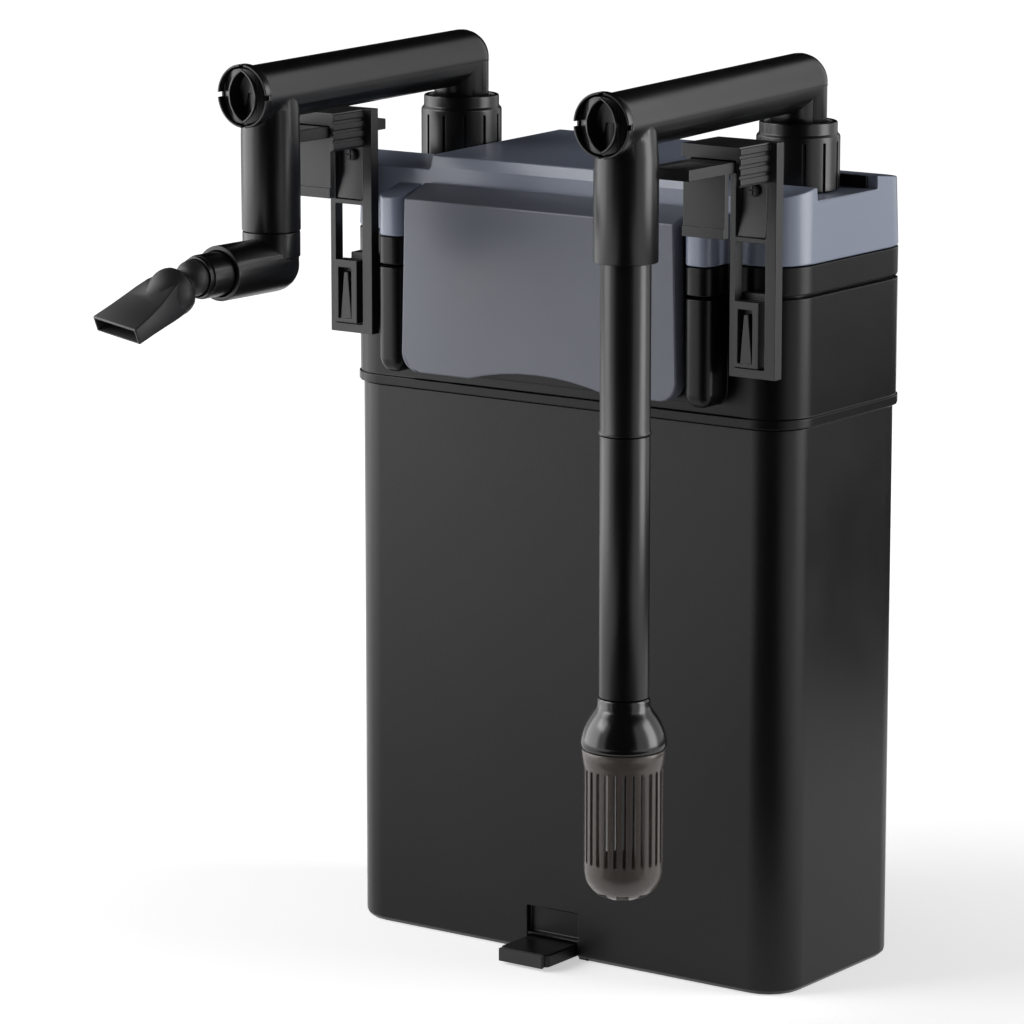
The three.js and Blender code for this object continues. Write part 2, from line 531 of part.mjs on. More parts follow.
function bayLiner(side) {
  const inner = COVER.deckHalf + GAP;
  const outer = SIDE - LINER.inset;
  const plate = block(inner, outer, COVER.bayBack - GAP - LINER.thickness, COVER.bayBack - GAP,
    COVER.bayFloor + GAP, COVER.wingFront - LINER.drop);
  const placed = side > 0 ? plate : plate.mirror([1, 0, 0]);
  return piece(`bay_liner_${side > 0 ? 'right' : 'left'}`, placed, HEAD_BLACK);
}

// ---------------------------------------------------------------- front flap
function flapOutline(inset) {
  const half = FLAP.half - inset;
  const topHalf = FLAP.half - FLAP.topInset - inset;
  const bottom = FLAP.bottom + inset;
  const corner = FLAP.corner - inset;
  const rise = FLAP.scoopRise;
  const shape = new THREE.Shape();
  shape.moveTo(-half + corner, bottom);
  shape.lineTo(-FLAP.scoopHalf, bottom);
  shape.quadraticCurveTo(0, bottom + 2 * rise, FLAP.scoopHalf, bottom);
  shape.lineTo(half - corner, bottom);
  shape.absarc(half - corner, bottom + corner, corner, -Math.PI / 2, 0, false);
  shape.lineTo(topHalf, FLAP.top - inset);
  shape.lineTo(-topHalf, FLAP.top - inset);
  shape.lineTo(-half, bottom + corner);
  shape.absarc(-half + corner, bottom + corner, corner, Math.PI, Math.PI * 1.5, false);
  return shape;
}

function frontFlap() {
  const shell = cut(
    prismY(flapOutline(0), FLAP.front, FLAP.front + FLAP.depth),
    prismY(flapOutline(FLAP.wall), FLAP.front + FLAP.wall, FLAP.front + FLAP.depth + OVERCUT),
  );
  const roof = prismX([[FLAP.front, FLAP.top], [FLAP.topBack, FLAP.topBackZ],
    [FLAP.topBack, FLAP.topBackZ - FLAP.roof], [FLAP.front + FLAP.wall, FLAP.top - FLAP.roof]],
  -FLAP.half + FLAP.topInset, FLAP.half - FLAP.topInset);
  const knuckles = [-1, 1].map((side) => {
    const x0 = side * HINGE.x - HINGE.length / 2;
    return join(
      bar('x', HINGE.knuckle, x0, x0 + HINGE.length, [HINGE.y, HINGE.z], 16),
      block(x0, x0 + HINGE.length, HINGE.y - HINGE.knuckle, HINGE.y + HINGE.knuckle, HINGE.z,
        FLAP.top + FLAP.roof / 2),
    );
  });
  return piece('front_flap', cut(
    join(shell, roof, ...knuckles),
    bar('x', HINGE.pin + GAP, -FLAP.half, FLAP.half, [HINGE.y, HINGE.z], SMALL),
  ), GREY_BLUE);
}

const flapPin = () => piece('flap_hinge_pin',
  bar('x', HINGE.pin, -PIN_HALF, PIN_HALF, [HINGE.y, HINGE.z], SMALL), STEEL);

// ---------------------------------------------------------------- pump
const VOLUTE_COVER_TOP = VOLUTE_BOTTOM - GAP;
const VOLUTE_COVER_BOTTOM = VOLUTE_COVER_TOP - PUMP.cover;

function motorWell() {
  const cup = cut(
    bar('z', PUMP.well + PUMP.wellWall, PLATE_TOP + GAP, PUMP.wellTop),
    bar('z', PUMP.well, PLATE_TOP - OVERCUT, PUMP.wellTop - PUMP.wellRoof),
  );
  return piece('motor_well', cup, HEAD_BLACK);
}

function stator() {
  const core = roundedBox(PUMP.stator, PUMP.statorDepth, PUMP.statorRadius, PLATE_TOP + GAP, PUMP.statorTop);
  const bore = bar('z', PUMP.well + PUMP.wellWall + GAP, PLATE_TOP - OVERCUT, PUMP.statorTop + OVERCUT);
  return piece('stator_block', cut(core, bore), RESIN);
}

const ON_SHAFT = PUMP.shaft + PUMP.rotorPlay;

const rotorMagnet = () =>
  piece('rotor_magnet', ring(PUMP.rotor, ON_SHAFT, PUMP.rotorBottom, PUMP.rotorTop, FINE), FERRITE);

function impeller() {
  const low = VOLUTE_COVER_TOP + PUMP.bladeClear;
  const hubTop = PUMP.rotorBottom - GAP;
  const bladeTop = LIP_BOTTOM - PUMP.bladeClear;
  const half = PUMP.bladeThickness / 2;
  const hub = bar('z', PUMP.hub, low, hubTop, [0, 0], FINE);
  const blades = [];
  for (let i = 0; i < PUMP.blades; i += 1) {
    const blade = block(PUMP.hub - OVERCUT, PUMP.wheel, -half, half, low, bladeTop);
    blades.push(blade.rotate([0, 0, (360 / PUMP.blades) * i]));
  }
  const disc = bar('z', PUMP.disc, bladeTop - PUMP.discThickness, bladeTop, [0, 0], FINE);
  const bore = bar('z', ON_SHAFT, low - OVERCUT, hubTop + OVERCUT, [0, 0], SMALL);
  return piece('impeller', cut(join(hub, disc, ...blades), bore), CERAMIC);
}

const WELL_CEILING = PUMP.wellTop - PUMP.wellRoof - GAP;

const impellerShaft = () => piece('impeller_shaft',
  bar('z', PUMP.shaft, VOLUTE_COVER_BOTTOM + PUMP.shaftSeat, WELL_CEILING, [0, 0], SMALL), CERAMIC);

const shaftBush = (name, outer, z0, z1) =>
  piece(name, ring(outer, PUMP.shaft + PUMP.bushPlay, z0, z1, SMALL), RUBBER);

function impellerCover() {
  const [low, high] = [VOLUTE_COVER_BOTTOM, VOLUTE_COVER_TOP];
  const bush = PUMP.shaft + PUMP.bushWall;
  const plate = bar('z', PUMP.volute + PUMP.voluteWall, low, high, [0, 0], WIDE);
  const eye = bar('z', PUMP.eye, low - OVERCUT, high + OVERCUT, [0, 0], FINE);
  const hub = bar('z', bush + PUMP.coverHub, low, high, [0, 0], SMALL);
  const spokes = [0, 60, 120].map((turn) =>
    block(-PUMP.eye - OVERCUT, PUMP.eye + OVERCUT, -PUMP.spoke / 2, PUMP.spoke / 2, low, high)
      .rotate([0, 0, turn]));
  const seat = bar('z', bush + GAP / 3, low + PUMP.shaftSeat, high + OVERCUT, [0, 0], SMALL);
  return piece('impeller_cover', cut(join(cut(plate, eye), hub, ...spokes), seat), HEAD_BLACK);
}

function cableGland() {
  const back = CAN.depth / 2 + HEAD.overhang;
  const place = [GLAND.x, GLAND.z];
  const end = back + GAP + GLAND.length;
  const body = bar('y', GLAND.radius, back - HEAD.wall - GLAND.root, end, place, FINE);
  const nut = bar('y', GLAND.nutRadius, back + GAP, back + GAP + GLAND.nutLength, place, 6);
  const bore = bar('y', GLAND.bore, back - 4 * GLAND.root, end + OVERCUT, place, SMALL);
  return piece('cable_gland', cut(join(body, nut), bore), RUBBER);
}

// ---------------------------------------------------------------- stubs, nuts and seals
function stub(name, bottom) {
  return piece(name, cut(
    bar('z', STUB.radius, bottom, STUB.top),
    bar('z', STUB.bore, bottom - OVERCUT, STUB.top + OVERCUT),
    bar('z', STUB.socket, RISER.bottom - GAP, STUB.top + OVERCUT),
  ), HEAD_BLACK);
}

function unionNut(name) {
  const soft = NUT.round;
  const body = cut(
    turned([[0, NUT.bottom], [NUT.radius - soft, NUT.bottom], [NUT.radius, NUT.bottom + soft],
      [NUT.radius, NUT.shoulder - soft], [NUT.crownRadius, NUT.shoulder + soft],
      [NUT.crownRadius, NUT.top - soft], [NUT.crownRadius - soft, NUT.top], [0, NUT.top]], WIDE),
    bar('z', NUT.bore, NUT.bottom - OVERCUT, NUT.top - NUT.lip),
    bar('z', RISER.radius + NUT.play, NUT.top - NUT.lip - OVERCUT, NUT.top + OVERCUT),
  );
  const slits = [];
  for (let i = 0; i < NUT.slits; i += 1) {
    const slit = block(NUT.radius - NUT.slitDepth, NUT.radius + OVERCUT,
      -NUT.slitWidth / 2, NUT.slitWidth / 2, NUT.bottom - OVERCUT, NUT.shoulder - NUT.slitEnd);
    slits.push(slit.rotate([0, 0, (360 / NUT.slits) * (i + NUT.slitTurn)]));
  }
  return piece(name, cut(body, ...slits), PIPE_BLACK);
}

const riserSeal = (name) => piece(name,
  ring(NUT.bore - GAP, RISER.radius + GAP, STUB.top + GAP, STUB.top + GAP + SEAL.height), RUBBER);

// ---------------------------------------------------------------- pipework
// The round corner of an elbow, about the point where its two axes meet.
function ball(radius, z, y = 0, sides = ROUND) {
  const geometry = new THREE.SphereGeometry(radius, sides, 16);
  geometry.rotateX(Math.PI / 2).translate(0, y, z);
  return solid(geometry);
}

// The arm runs from the riser over the rim of the tank and falls a little towards it.
function armBody(name, legRadius, legBottom) {
  const corner = [0, ARM.axisZ];
  const fall = (body) => turnX(body, ARM.fall, corner);
  const along = (radius, y0, y1, sides = ROUND) => fall(bar('y', radius, y0, y1, corner, sides));
  const end = -TEE.end;
  const low = RISER.bottom - OVERCUT;
  const legAxis = [0, -ARM.reach];
  const legTop = ARM.axisZ - ARM.bore / 2;
  const shell = join(
    bar('z', RISER.radius, RISER.bottom, ARM.axisZ),
    ball(ARM.radius, ARM.axisZ),
    along(ARM.radius, end + TEE.notchDepth, 0),
    along(TEE.collarRadius, end, end + TEE.collarLength),
    bar('z', legRadius, legBottom, legTop, legAxis),
  );
  const notches = [];
  for (let i = 0; i < TEE.notches; i += 1) {
    const notch = block(ARM.bore, TEE.collarRadius + OVERCUT, end - OVERCUT, end + TEE.notchDepth,
      -TEE.notchWidth / 2, TEE.notchWidth / 2).rotate([0, (360 / TEE.notches) * i, 0])
      .translate([0, 0, ARM.axisZ]);
    notches.push(fall(notch));
  }
  return piece(name, cut(
    shell,
    bar('z', RISER.bore, low, ARM.axisZ),
    along(ARM.bore, end - OVERCUT, -OVERCUT / 2),
    along(TEE.collarRadius - TEE.rimWall, end - OVERCUT, end + PLUG.length + GAP),
    bar('z', TUBE.radius + GAP, legBottom - OVERCUT, LEG.socketTop, legAxis),
    bar('z', TUBE.bore, legBottom - OVERCUT, legTop, legAxis),
    ...notches,
  ), PIPE_BLACK);
}

// The plug in the open end of the tee, with a lens-shaped finger recess.
function endPlug(name) {
  const radius = TEE.collarRadius - TEE.rimWall - GAP;
  const end = -TEE.end;
  const plug = bar('y', radius, end, end + PLUG.length);
  const half = PLUG.lensHeight / 2;
  const sag = PLUG.lensWidth / 2;
  const arc = (half * half + sag * sag) / (2 * sag);
  const lens = bar('y', arc, end - OVERCUT, end + PLUG.lensDepth, [arc - sag, 0], 48)
    .intersect(bar('y', arc, end - OVERCUT, end + PLUG.lensDepth, [sag - arc, 0], 48));
  const placed = cut(plug, lens).translate([0, 0, ARM.axisZ]);
  return piece(name, turnX(placed, ARM.fall, [0, ARM.axisZ]), PIPE_BLACK);
}

function upperTube() {
  const tube = join(
    bar('z', TUBE.radius, TUBE.joint, TUBE.top),
    bar('z', TUBE.radius + TUBE.collar, TUBE.joint, TUBE.joint + TUBE.collarHeight),
  );
  return piece('intake_tube_upper',
    cut(tube, bar('z', TUBE.bore, TUBE.joint - OVERCUT, TUBE.top + OVERCUT)), PIPE_BLACK);
}

function lowerTube() {
  const top = TUBE.joint - GAP;
  const spigotTop = top + TUBE.spigot;
  const spigotRadius = TUBE.bore - GAP;
  const tube = join(
    bar('z', TUBE.radius, TUBE.bottom, top),
    bar('z', spigotRadius, top - OVERCUT, spigotTop),
  );
  const bore = bar('z', spigotRadius - TUBE.spigotWall, TUBE.bottom - OVERCUT, spigotTop + OVERCUT);
  return piece('intake_tube_lower', cut(tube, bore), PIPE_BLACK);
}

function strainerCap() {
  const neck = TUBE.radius + BULB.neck;
  const top = TUBE.bottom - GAP;
  const room = BULB.radius - BULB.wall;
  const shell = turned([
    [0, BULB.bottom],
    ...BULB_SHOULDER.map(([inset, rise]) => [BULB.radius - inset, BULB.bottom + rise]),
    ...BULB_NECK.map(([growth, rise]) => [neck + growth, BULB.bottom + rise]),
    [neck, top],
    [0, top],
  ]);
  const hollow = turned([
    [0, BULB.bottom - OVERCUT],
    [room, BULB.bottom - OVERCUT],
    [room, BULB.bottom + BULB.wall],
    [BULB.neckBore, BULB.bottom + BULB_NECK[0][1] - OVERCUT],
    [BULB.neckBore, top + OVERCUT],
    [0, top + OVERCUT],
  ]);
  return piece('strainer_cap', cut(shell, hollow), PIPE_BLACK);
}

function strainerCage() {
  const inner = CAGE.radius - CAGE.wall;
  const top = BULB.bottom - GAP;
  const step = top - CAGE.ringHeight;
  const bottom = BULB.bottom - CAGE.bottom;
  const domeTop = BULB.bottom - CAGE.domeTop;
  const shell = turned([
    [0, bottom],
    ...CAGE_DOME.map(([radius, rise]) => [radius, bottom + rise]),
    [CAGE.radius, domeTop],
    [CAGE.radius, step],
    [CAGE.ringRadius, step + CAGE.ringStep],
    [CAGE.ringRadius, top],
    [0, top],
  ]);
  const room = turned([
    [0, bottom + CAGE.wall],
    ...CAGE_DOME_ROOM.map(([radius, rise]) => [radius, bottom + rise]),
    [inner, domeTop + CAGE.wall / 2],
    [inner, top + OVERCUT],
    [0, top + OVERCUT],
  ]);
  const openings = [];
  for (let i = 0; i < CAGE.slots; i += 1) {
    const slot = block(inner - OVERCUT, CAGE.radius + OVERCUT, -CAGE.slotWidth / 2, CAGE.slotWidth / 2,
      BULB.bottom - CAGE.slotBottom, BULB.bottom - CAGE.slotTop);
    openings.push(slot.rotate([0, 0, (360 / CAGE.slots) * i]));
  }
  for (let i = 0; i < CAGE.windows; i += 1) {
    const window = block(CAGE.windowIn, CAGE.windowOut, -CAGE.windowWidth / 2, CAGE.windowWidth / 2,
      bottom - OVERCUT, bottom + CAGE.windowDepth);
    openings.push(window.rotate([0, 0, (360 / CAGE.windows) * i]));
  }
  return piece('strainer_cage', cut(shell, room, ...openings), SMOKE);
}

function outletElbow() {
  const top = LEG.outletBottom - GAP;
  const shell = join(
    bar('z', ELBOW.radius + ELBOW.collar, ELBOW.axisZ + ELBOW.collarFrom, top),
    bar('z', ELBOW.radius, ELBOW.axisZ, ELBOW.axisZ + ELBOW.collarFrom + OVERCUT),
    ball(ELBOW.radius, ELBOW.axisZ),
    bar('y', ELBOW.radius, -ELBOW.reach, 0, [0, ELBOW.axisZ]),
    bar('z', TUBE.radius, top - OVERCUT, top + ELBOW.spigot),
  );
  return piece('outlet_elbow', cut(
    shell,
    bar('z', ELBOW.bore, ELBOW.axisZ, top + ELBOW.spigot + OVERCUT),
    bar('y', ELBOW.bore, -ELBOW.reach - OVERCUT, -OVERCUT / 2, [0, ELBOW.axisZ]),
    bar('y', SOCKET.radius + GAP, -ELBOW.reach - OVERCUT, SOCKET_TAIL + GAP, [0, ELBOW.axisZ]),
  ), PIPE_BLACK);
}

const SOCKET_FRONT = -ELBOW.reach - SOCKET.length;
const SOCKET_TAIL = -ELBOW.reach + SOCKET.tail;
const BALL_Y = SOCKET_FRONT - SOCKET.ballOut;

function nozzleSocket() {
  return piece('nozzle_socket', cut(
    bar('y', SOCKET.radius, SOCKET_FRONT, SOCKET_TAIL, [0, ELBOW.axisZ]),
    bar('y', NOZZLE.ball - SOCKET.lip, SOCKET_FRONT - OVERCUT, SOCKET_TAIL + OVERCUT, [0, ELBOW.axisZ]),
    ball(NOZZLE.ball + GAP, ELBOW.axisZ, BALL_Y, FINE),
  ), PIPE_BLACK);
}

// One section of the duckbill: an oval that turns into a rounded box as its power grows.
function nozzleRing(y, halfWidth, halfHeight, power) {
  const points = [];
  for (let i = 0; i < NOZZLE.points; i += 1) {
    const angle = (Math.PI * 2 * i) / NOZZLE.points;
    const c = Math.cos(angle);
    const s = Math.sin(angle);
    const reach = (Math.abs(c) ** power + Math.abs(s) ** power) ** (-1 / power);
    points.push([halfWidth * c * reach, -y, halfHeight * s * reach]);
  }
  return points;
}

// The duckbill's skin, drawn along -Y from the ball and shrunk by an inset.
function nozzleSkin(inset, start, end) {
  const between = NOZZLE_SECTIONS.filter(([y]) => y > start && y < end);
  const ends = [[start, ...between[0].slice(1)], ...between, [end, ...NOZZLE_SECTIONS.at(-1).slice(1)]];
  return loft(ends.map(([y, a, b, power]) => nozzleRing(y, a - inset, b - inset, power)));
}

function nozzle() {
  const neck = bar('y', NOZZLE.neck, -NOZZLE.neckTo, -NOZZLE.neckFrom, [0, 0], FINE);
  const outside = join(ball(NOZZLE.ball, 0, 0, FINE), neck, nozzleSkin(0, NOZZLE.skinFrom, NOZZLE.length));
  const inside = join(
    nozzleSkin(NOZZLE.wall, NOZZLE.roomFrom, NOZZLE.length + OVERCUT),
    bar('y', NOZZLE.bore, -NOZZLE.ball - 2 * OVERCUT, NOZZLE.boreTo, [0, 0], FINE),
  );
  return piece('nozzle', cut(outside, inside), NOZZLE_GREY);
}

// ---------------------------------------------------------------- hanging brackets
const FRAME_BACK = FRAME.front + FRAME.thickness;
const WINDOW_LEFT = -FRAME.width / 2 + FRAME.leftRail;
const WINDOW_RIGHT = FRAME.width / 2 - FRAME.rightRail;

// A bracket is drawn about X = 0, and its group carries it to its place. Both hands are the same part.
// It is a ladder with two windows under a housing in which the tongue of the hook slides.
function bracketBody(name) {
  const half = FRAME.width / 2;
  const window = (z0, z1) =>
    block(WINDOW_LEFT, WINDOW_RIGHT, FRAME.front - OVERCUT, FRAME_BACK + OVERCUT, z0, z1);
  const ladder = cut(
    block(-half, half, FRAME.front, FRAME_BACK, FRAME.bottom, FRAME.top),
    window(FRAME.lowerBottom, FRAME.lowerTop),
    window(FRAME.upperBottom, FRAME.upperTop),
  );
  const cheekLeft = TONGUE.right + GAP;
  const cheekRight = cheekLeft + HOUSING.cheek;
  const roof = block(HOUSING.left, cheekRight, HOUSING.front, FRAME_BACK, TONGUE.top + GAP, FRAME.top);
  const grip = block(cheekLeft, cheekRight, HOUSING.front, FRAME_BACK, HOUSING.gripBottom, FRAME.top);
  const inner = block(TONGUE.left - GAP - HOUSING.cheek, TONGUE.left - GAP, HOUSING.front, FRAME_BACK,
    HOUSING.innerBottom, FRAME.top);
  const pitch = (FRAME.top - HOUSING.gripBottom) / HOUSING.ribs;
  const ribs = [];
  for (let i = 0; i < HOUSING.ribs; i += 1) {
    const z = HOUSING.gripBottom + pitch * (i + 0.5);
    ribs.push(block(cheekLeft, cheekRight + HOUSING.ribProud, HOUSING.front, FRAME.front,
      z - (pitch * HOUSING.ribShare) / 2, z + (pitch * HOUSING.ribShare) / 2));
  }
  const slot = block(TONGUE.left - GAP, cheekLeft, HOUSING.front - OVERCUT, FRAME_BACK + OVERCUT,
    TONGUE.bottom - GAP, TONGUE.top + GAP);
  return piece(name, cut(join(ladder, roof, grip, inner, ...ribs), slot), BRACKET_BLACK);
}

// The hook: a toothed tongue with the plate that hangs on the water side of the rim.
function hook(name, setIn) {
  const tongue = block(TONGUE.left, TONGUE.right, TONGUE.tip, TONGUE.tail, TONGUE.bottom, TONGUE.top);
  const plate = block(HOOK.left, TONGUE.right, HOOK.front, HOOK.front + HOOK.thickness,
    HOOK.bottom, TONGUE.bottom + OVERCUT);
  const lip = block(HOOK.left, TONGUE.right, HOOK.front - HOOK.lipProud, HOOK.front + HOOK.lipProud,
    HOOK.bottom, HOOK.bottom + HOOK.lip);
  const notches = [];
  for (let i = 0; i < RACK.teeth; i += 1) {
    const y = TONGUE.tip + RACK.start + RACK.pitch * i;
    notches.push(block(RACK.left, RACK.right, y, y + RACK.pitch / 2, TONGUE.top - RACK.depth,
      TONGUE.top + OVERCUT));
  }
  return piece(name, cut(join(tongue, plate, lip), ...notches).translate([0, setIn, 0]), BRACKET_BLACK);
}

// The pad leans in the upper window, with its foot at the front of the frame and its head at the back.
const PAD_TOP = HOUSING.gripBottom - GAP;
const PAD_BOTTOM = FRAME.upperBottom + GAP;
const PAD_HEAD_Y = FRAME_BACK - PAD.thickness;
const PAD_FOOT_Y = FRAME.front + PAD.footInset;
const PAD_BEND = (PAD_BOTTOM + PAD_TOP) / 2;

function rimPad(name) {
  const pad = prismX([[PAD_FOOT_Y, PAD_BOTTOM], [PAD_FOOT_Y + PAD.thickness, PAD_BOTTOM],
    [PAD_HEAD_Y + PAD.thickness, PAD_BEND], [PAD_HEAD_Y + PAD.thickness, PAD_TOP], [PAD_HEAD_Y, PAD_TOP],
    [PAD_HEAD_Y, PAD_BEND]], WINDOW_LEFT + GAP, WINDOW_RIGHT - GAP);
  const hole = bar('y', PAD.stem + GAP, PAD_HEAD_Y - OVERCUT, FRAME_BACK + OVERCUT,
    [WINDOW_LEFT + PAD.screwX, PAD_TOP - PAD.screwDrop], SMALL);
  return piece(name, cut(pad, hole), BRACKET_BLACK);
}

function padScrew(name) {
  const place = [WINDOW_LEFT + PAD.screwX, PAD_TOP - PAD.screwDrop];
  const head = bar('y', PAD.screw, PAD_HEAD_Y - GAP - PAD.screwHead, PAD_HEAD_Y - GAP, place, FINE);
  const stem = bar('y', PAD.stem, PAD_HEAD_Y - GAP - PAD.seat, FRAME_BACK, place, SMALL);
  return piece(name, join(head, stem), STEEL);
}

// The clip is fixed to the head and stands in the lower window, so the bracket can be let down on it.
function bracketClip(name, place) {
  const left = WINDOW_LEFT + GAP;
  const right = left + CLIP.width;
  const top = CLIP.bottom + CLIP.height;
  const middle = (left + right) / 2;
  const seat = FRAME_BACK + GAP;
  const tower = block(left, right, CLIP.front, seat + OVERCUT, CLIP.bottom, top);
  const saddle = block(CLIP.saddleLeft, CLIP.saddleRight, seat, FRONT_WALL + CLIP.root,
    CLIP.saddleBottom, CLIP.saddleTop);
  const foot = block(left, right, seat, FRONT_WALL + CLIP.footRoot, CLIP.bottom, CLIP.saddleBottom + OVERCUT);
  const head = planBox(CLIP.bottom - OVERCUT, CLIP.saddleTop + OVERCUT, GAP).translate([-place, 0, 0]);
  const recess = block(left + CLIP.wall, right - CLIP.sideWall, CLIP.front - OVERCUT,
    CLIP.front + CLIP.recessDepth, CLIP.bottom + CLIP.wall, top - CLIP.topWall);
  const shoulder = top - CLIP.topWall - CLIP.wedgeShort;
  const wedge = new THREE.Shape([
    [-CLIP.wedgeFoot, CLIP.bottom + CLIP.wall / 2],
    [CLIP.wedgeFoot, CLIP.bottom + CLIP.wall / 2],
    [CLIP.wedgeTip, shoulder],
    [-CLIP.wedgeTip, shoulder],
  ].map(([x, z]) => new THREE.Vector2(middle - CLIP.wedgeShift + x, z)));
  return piece(name, join(
    cut(join(tower, saddle, foot), head, recess),
    prismY(wedge, CLIP.front + CLIP.wedgeSetback, CLIP.front + CLIP.recessDepth + CLIP.wedgeSetback),
  ), BRACKET_BLACK);
}

// ---------------------------------------------------------------- assembly
function group(position, ...children) {
  const holder = new THREE.Group();
  holder.position.set(...position);
  holder.add(...children);
  return holder;
}

function pump() {
  return group([PUMP.x, 0, 0],
    motorWell(), stator(), rotorMagnet(), impeller(), impellerShaft(), impellerCover(),
    shaftBush('shaft_bush_top', PUMP.shaft + PUMP.bushWall, WELL_CEILING - PUMP.bush, WELL_CEILING),
    shaftBush('shaft_bush_bottom', PUMP.shaft + PUMP.bushWall - PUMP.bushPlay,
      VOLUTE_COVER_BOTTOM + PUMP.shaftSeat + PUMP.bushPlay, VOLUTE_COVER_TOP));
}

function intakeSide() {
  const leg = group([0, -ARM.reach, 0], upperTube(), lowerTube(), strainerCap(), strainerCage());
  const arm = group([0, 0, 0], armBody('intake_arm', LEG.intakeRadius, LEG.intakeBottom),
    endPlug('intake_end_plug'), leg);
  arm.rotation.z = THREE.MathUtils.degToRad(ARM.splay);
  return group([RISER.x, 0, 0], stub('intake_stub', PLATE_TOP + GAP), unionNut('intake_nut'),
    riserSeal('intake_riser_seal'), arm, dropTube());
}

function outletSide() {
  const bill = nozzle();
  bill.position.set(0, BALL_Y, ELBOW.axisZ);
  bill.rotation.order = 'ZXY';
  bill.rotation.set(THREE.MathUtils.degToRad(NOZZLE.pitch), THREE.MathUtils.degToRad(NOZZLE.roll),
    THREE.MathUtils.degToRad(NOZZLE.yaw));
  const leg = group([0, -ARM.reach, 0], outletElbow(), nozzleSocket(), bill);
  const arm = group([0, 0, 0], armBody('outlet_arm', LEG.outletRadius, LEG.outletBottom),
    endPlug('outlet_end_plug'), leg);
  arm.rotation.z = THREE.MathUtils.degToRad(-ARM.splay);
  return group([-RISER.x, 0, 0], stub('outlet_stub', PLATE_TOP + GAP), unionNut('outlet_nut'),
    riserSeal('outlet_riser_seal'), arm);
}

function bracket(side) {
  const hand = side > 0 ? 'right' : 'left';
  const place = side * FRAME.x;
  return group([place, 0, 0], bracketBody(`bracket_${hand}`),
    hook(`hook_${hand}`, side > 0 ? 0 : HOOK.leftSetIn), rimPad(`rim_pad_${hand}`),
    padScrew(`pad_screw_${hand}`), bracketClip(`bracket_clip_${hand}`, place));
}

const filter = new THREE.Group();
const LOWER = BASKET.lowerBottom;
const UPPER = LOWER + BASKET.height + GAP;
filter.add(
  canister(), levellingFoot(), footPad(),
  basket('media_basket_lower', LOWER, true), media('coarse_sponge', LOWER, 0, MEDIA.coarse, FOAM_BLUE),
  media('fine_sponge', LOWER, MEDIA.coarse, MEDIA.fineTop, FOAM_WHITE),
  basket('media_basket_upper', UPPER), media('carbon_bag', UPPER, 0, MEDIA.carbon, CARBON),
  headBase(), headSeal(), headCollar(), topCover(), bayLiner(1), bayLiner(-1),
  frontFlap(), flapPin(), cableGland(), pump(), intakeSide(), outletSide(), bracket(1), bracket(-1),
);

export default filter;
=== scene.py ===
"""Finished surfaces of a hang-on canister filter for an aquarium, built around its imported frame.

+Z is up, +X is the suction side and -Y is the side that faces the tank. The scene is in metres. Profiles and boxes
are written in millimetres and scaled by MM.
"""
import math

import json

import bmesh
import bpy
from mathutils import Matrix, Vector


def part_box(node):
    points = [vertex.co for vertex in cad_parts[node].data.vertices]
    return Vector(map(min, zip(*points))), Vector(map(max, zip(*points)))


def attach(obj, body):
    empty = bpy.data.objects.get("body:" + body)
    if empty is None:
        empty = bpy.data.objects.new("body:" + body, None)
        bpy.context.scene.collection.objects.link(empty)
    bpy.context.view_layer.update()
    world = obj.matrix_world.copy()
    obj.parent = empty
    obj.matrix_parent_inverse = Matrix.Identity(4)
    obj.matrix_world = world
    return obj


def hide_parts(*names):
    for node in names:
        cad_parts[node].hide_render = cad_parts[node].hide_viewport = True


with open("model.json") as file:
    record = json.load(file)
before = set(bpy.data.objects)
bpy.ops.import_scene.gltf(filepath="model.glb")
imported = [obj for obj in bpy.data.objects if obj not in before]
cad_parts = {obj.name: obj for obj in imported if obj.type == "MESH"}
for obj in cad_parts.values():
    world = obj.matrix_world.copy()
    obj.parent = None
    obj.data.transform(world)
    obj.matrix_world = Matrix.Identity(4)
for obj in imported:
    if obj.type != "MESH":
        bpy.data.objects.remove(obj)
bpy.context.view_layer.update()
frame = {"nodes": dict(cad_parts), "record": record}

bl_info = {
    "name": "Canister filter finish",
    "version": (1, 0, 0),
    "blender": (4, 5, 0),
    "location": "View3D > Sidebar > Canister filter",
    "description": "Builds the finished pieces of a hang-on canister filter on its frame",
    "category": "Add Mesh",
}

MM = 0.001

# In metres
RISER_X = sum(c.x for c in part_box("intake_stub")) / 2
ARM_Z = 0.2928  # height of an arm's axis at its corner
ARM_REACH = 0.1007  # from the riser's axis to the leg's
MERGED = 2e-6  # corners of a solid's triangles that lie this close are one

# In millimetres
ARM_END = 114.8  # from an arm's corner to the open end of its tee
ELBOW_Z = 234.4  # height of the outlet bend's level axis
BALL_AT = 39.0  # from the outlet leg's axis to the middle of the nozzle's ball
POCKET_SIDES, POCKET_TOP = (-13.3, 7.3), 15.7  # the foot's pocket in the canister's tank side
CLIP_BACK, CLIP_RELIEF = -41.25, 4.1  # where the clip's outer side is cut back, and by how much

ARM_FALL = math.radians(1.6)  # an arm's slope towards the tank
ARM_SPLAY = math.radians(1.15)  # how far each arm points outwards
FLAT_WITHIN = math.radians(1)  # neighbouring triangles that turn by less are one face
CAGE_SLOTS, CAGE_WINDOWS, NUT_SLITS, TEE_NOTCHES = 26, 8, 12, 4
AMBIENT = 0.24  # strength of the surroundings for all but camera, glossy and see-through rays

CAMERA_AT = (0.900459, -1.321555, 0.460675)
CAMERA_TURN, CAMERA_DROP = 35.608, 11.172  # degrees from the tank side towards +X, and down from level
CAMERA_LENS, CAMERA_SENSOR = 171.94, 36  # millimetres


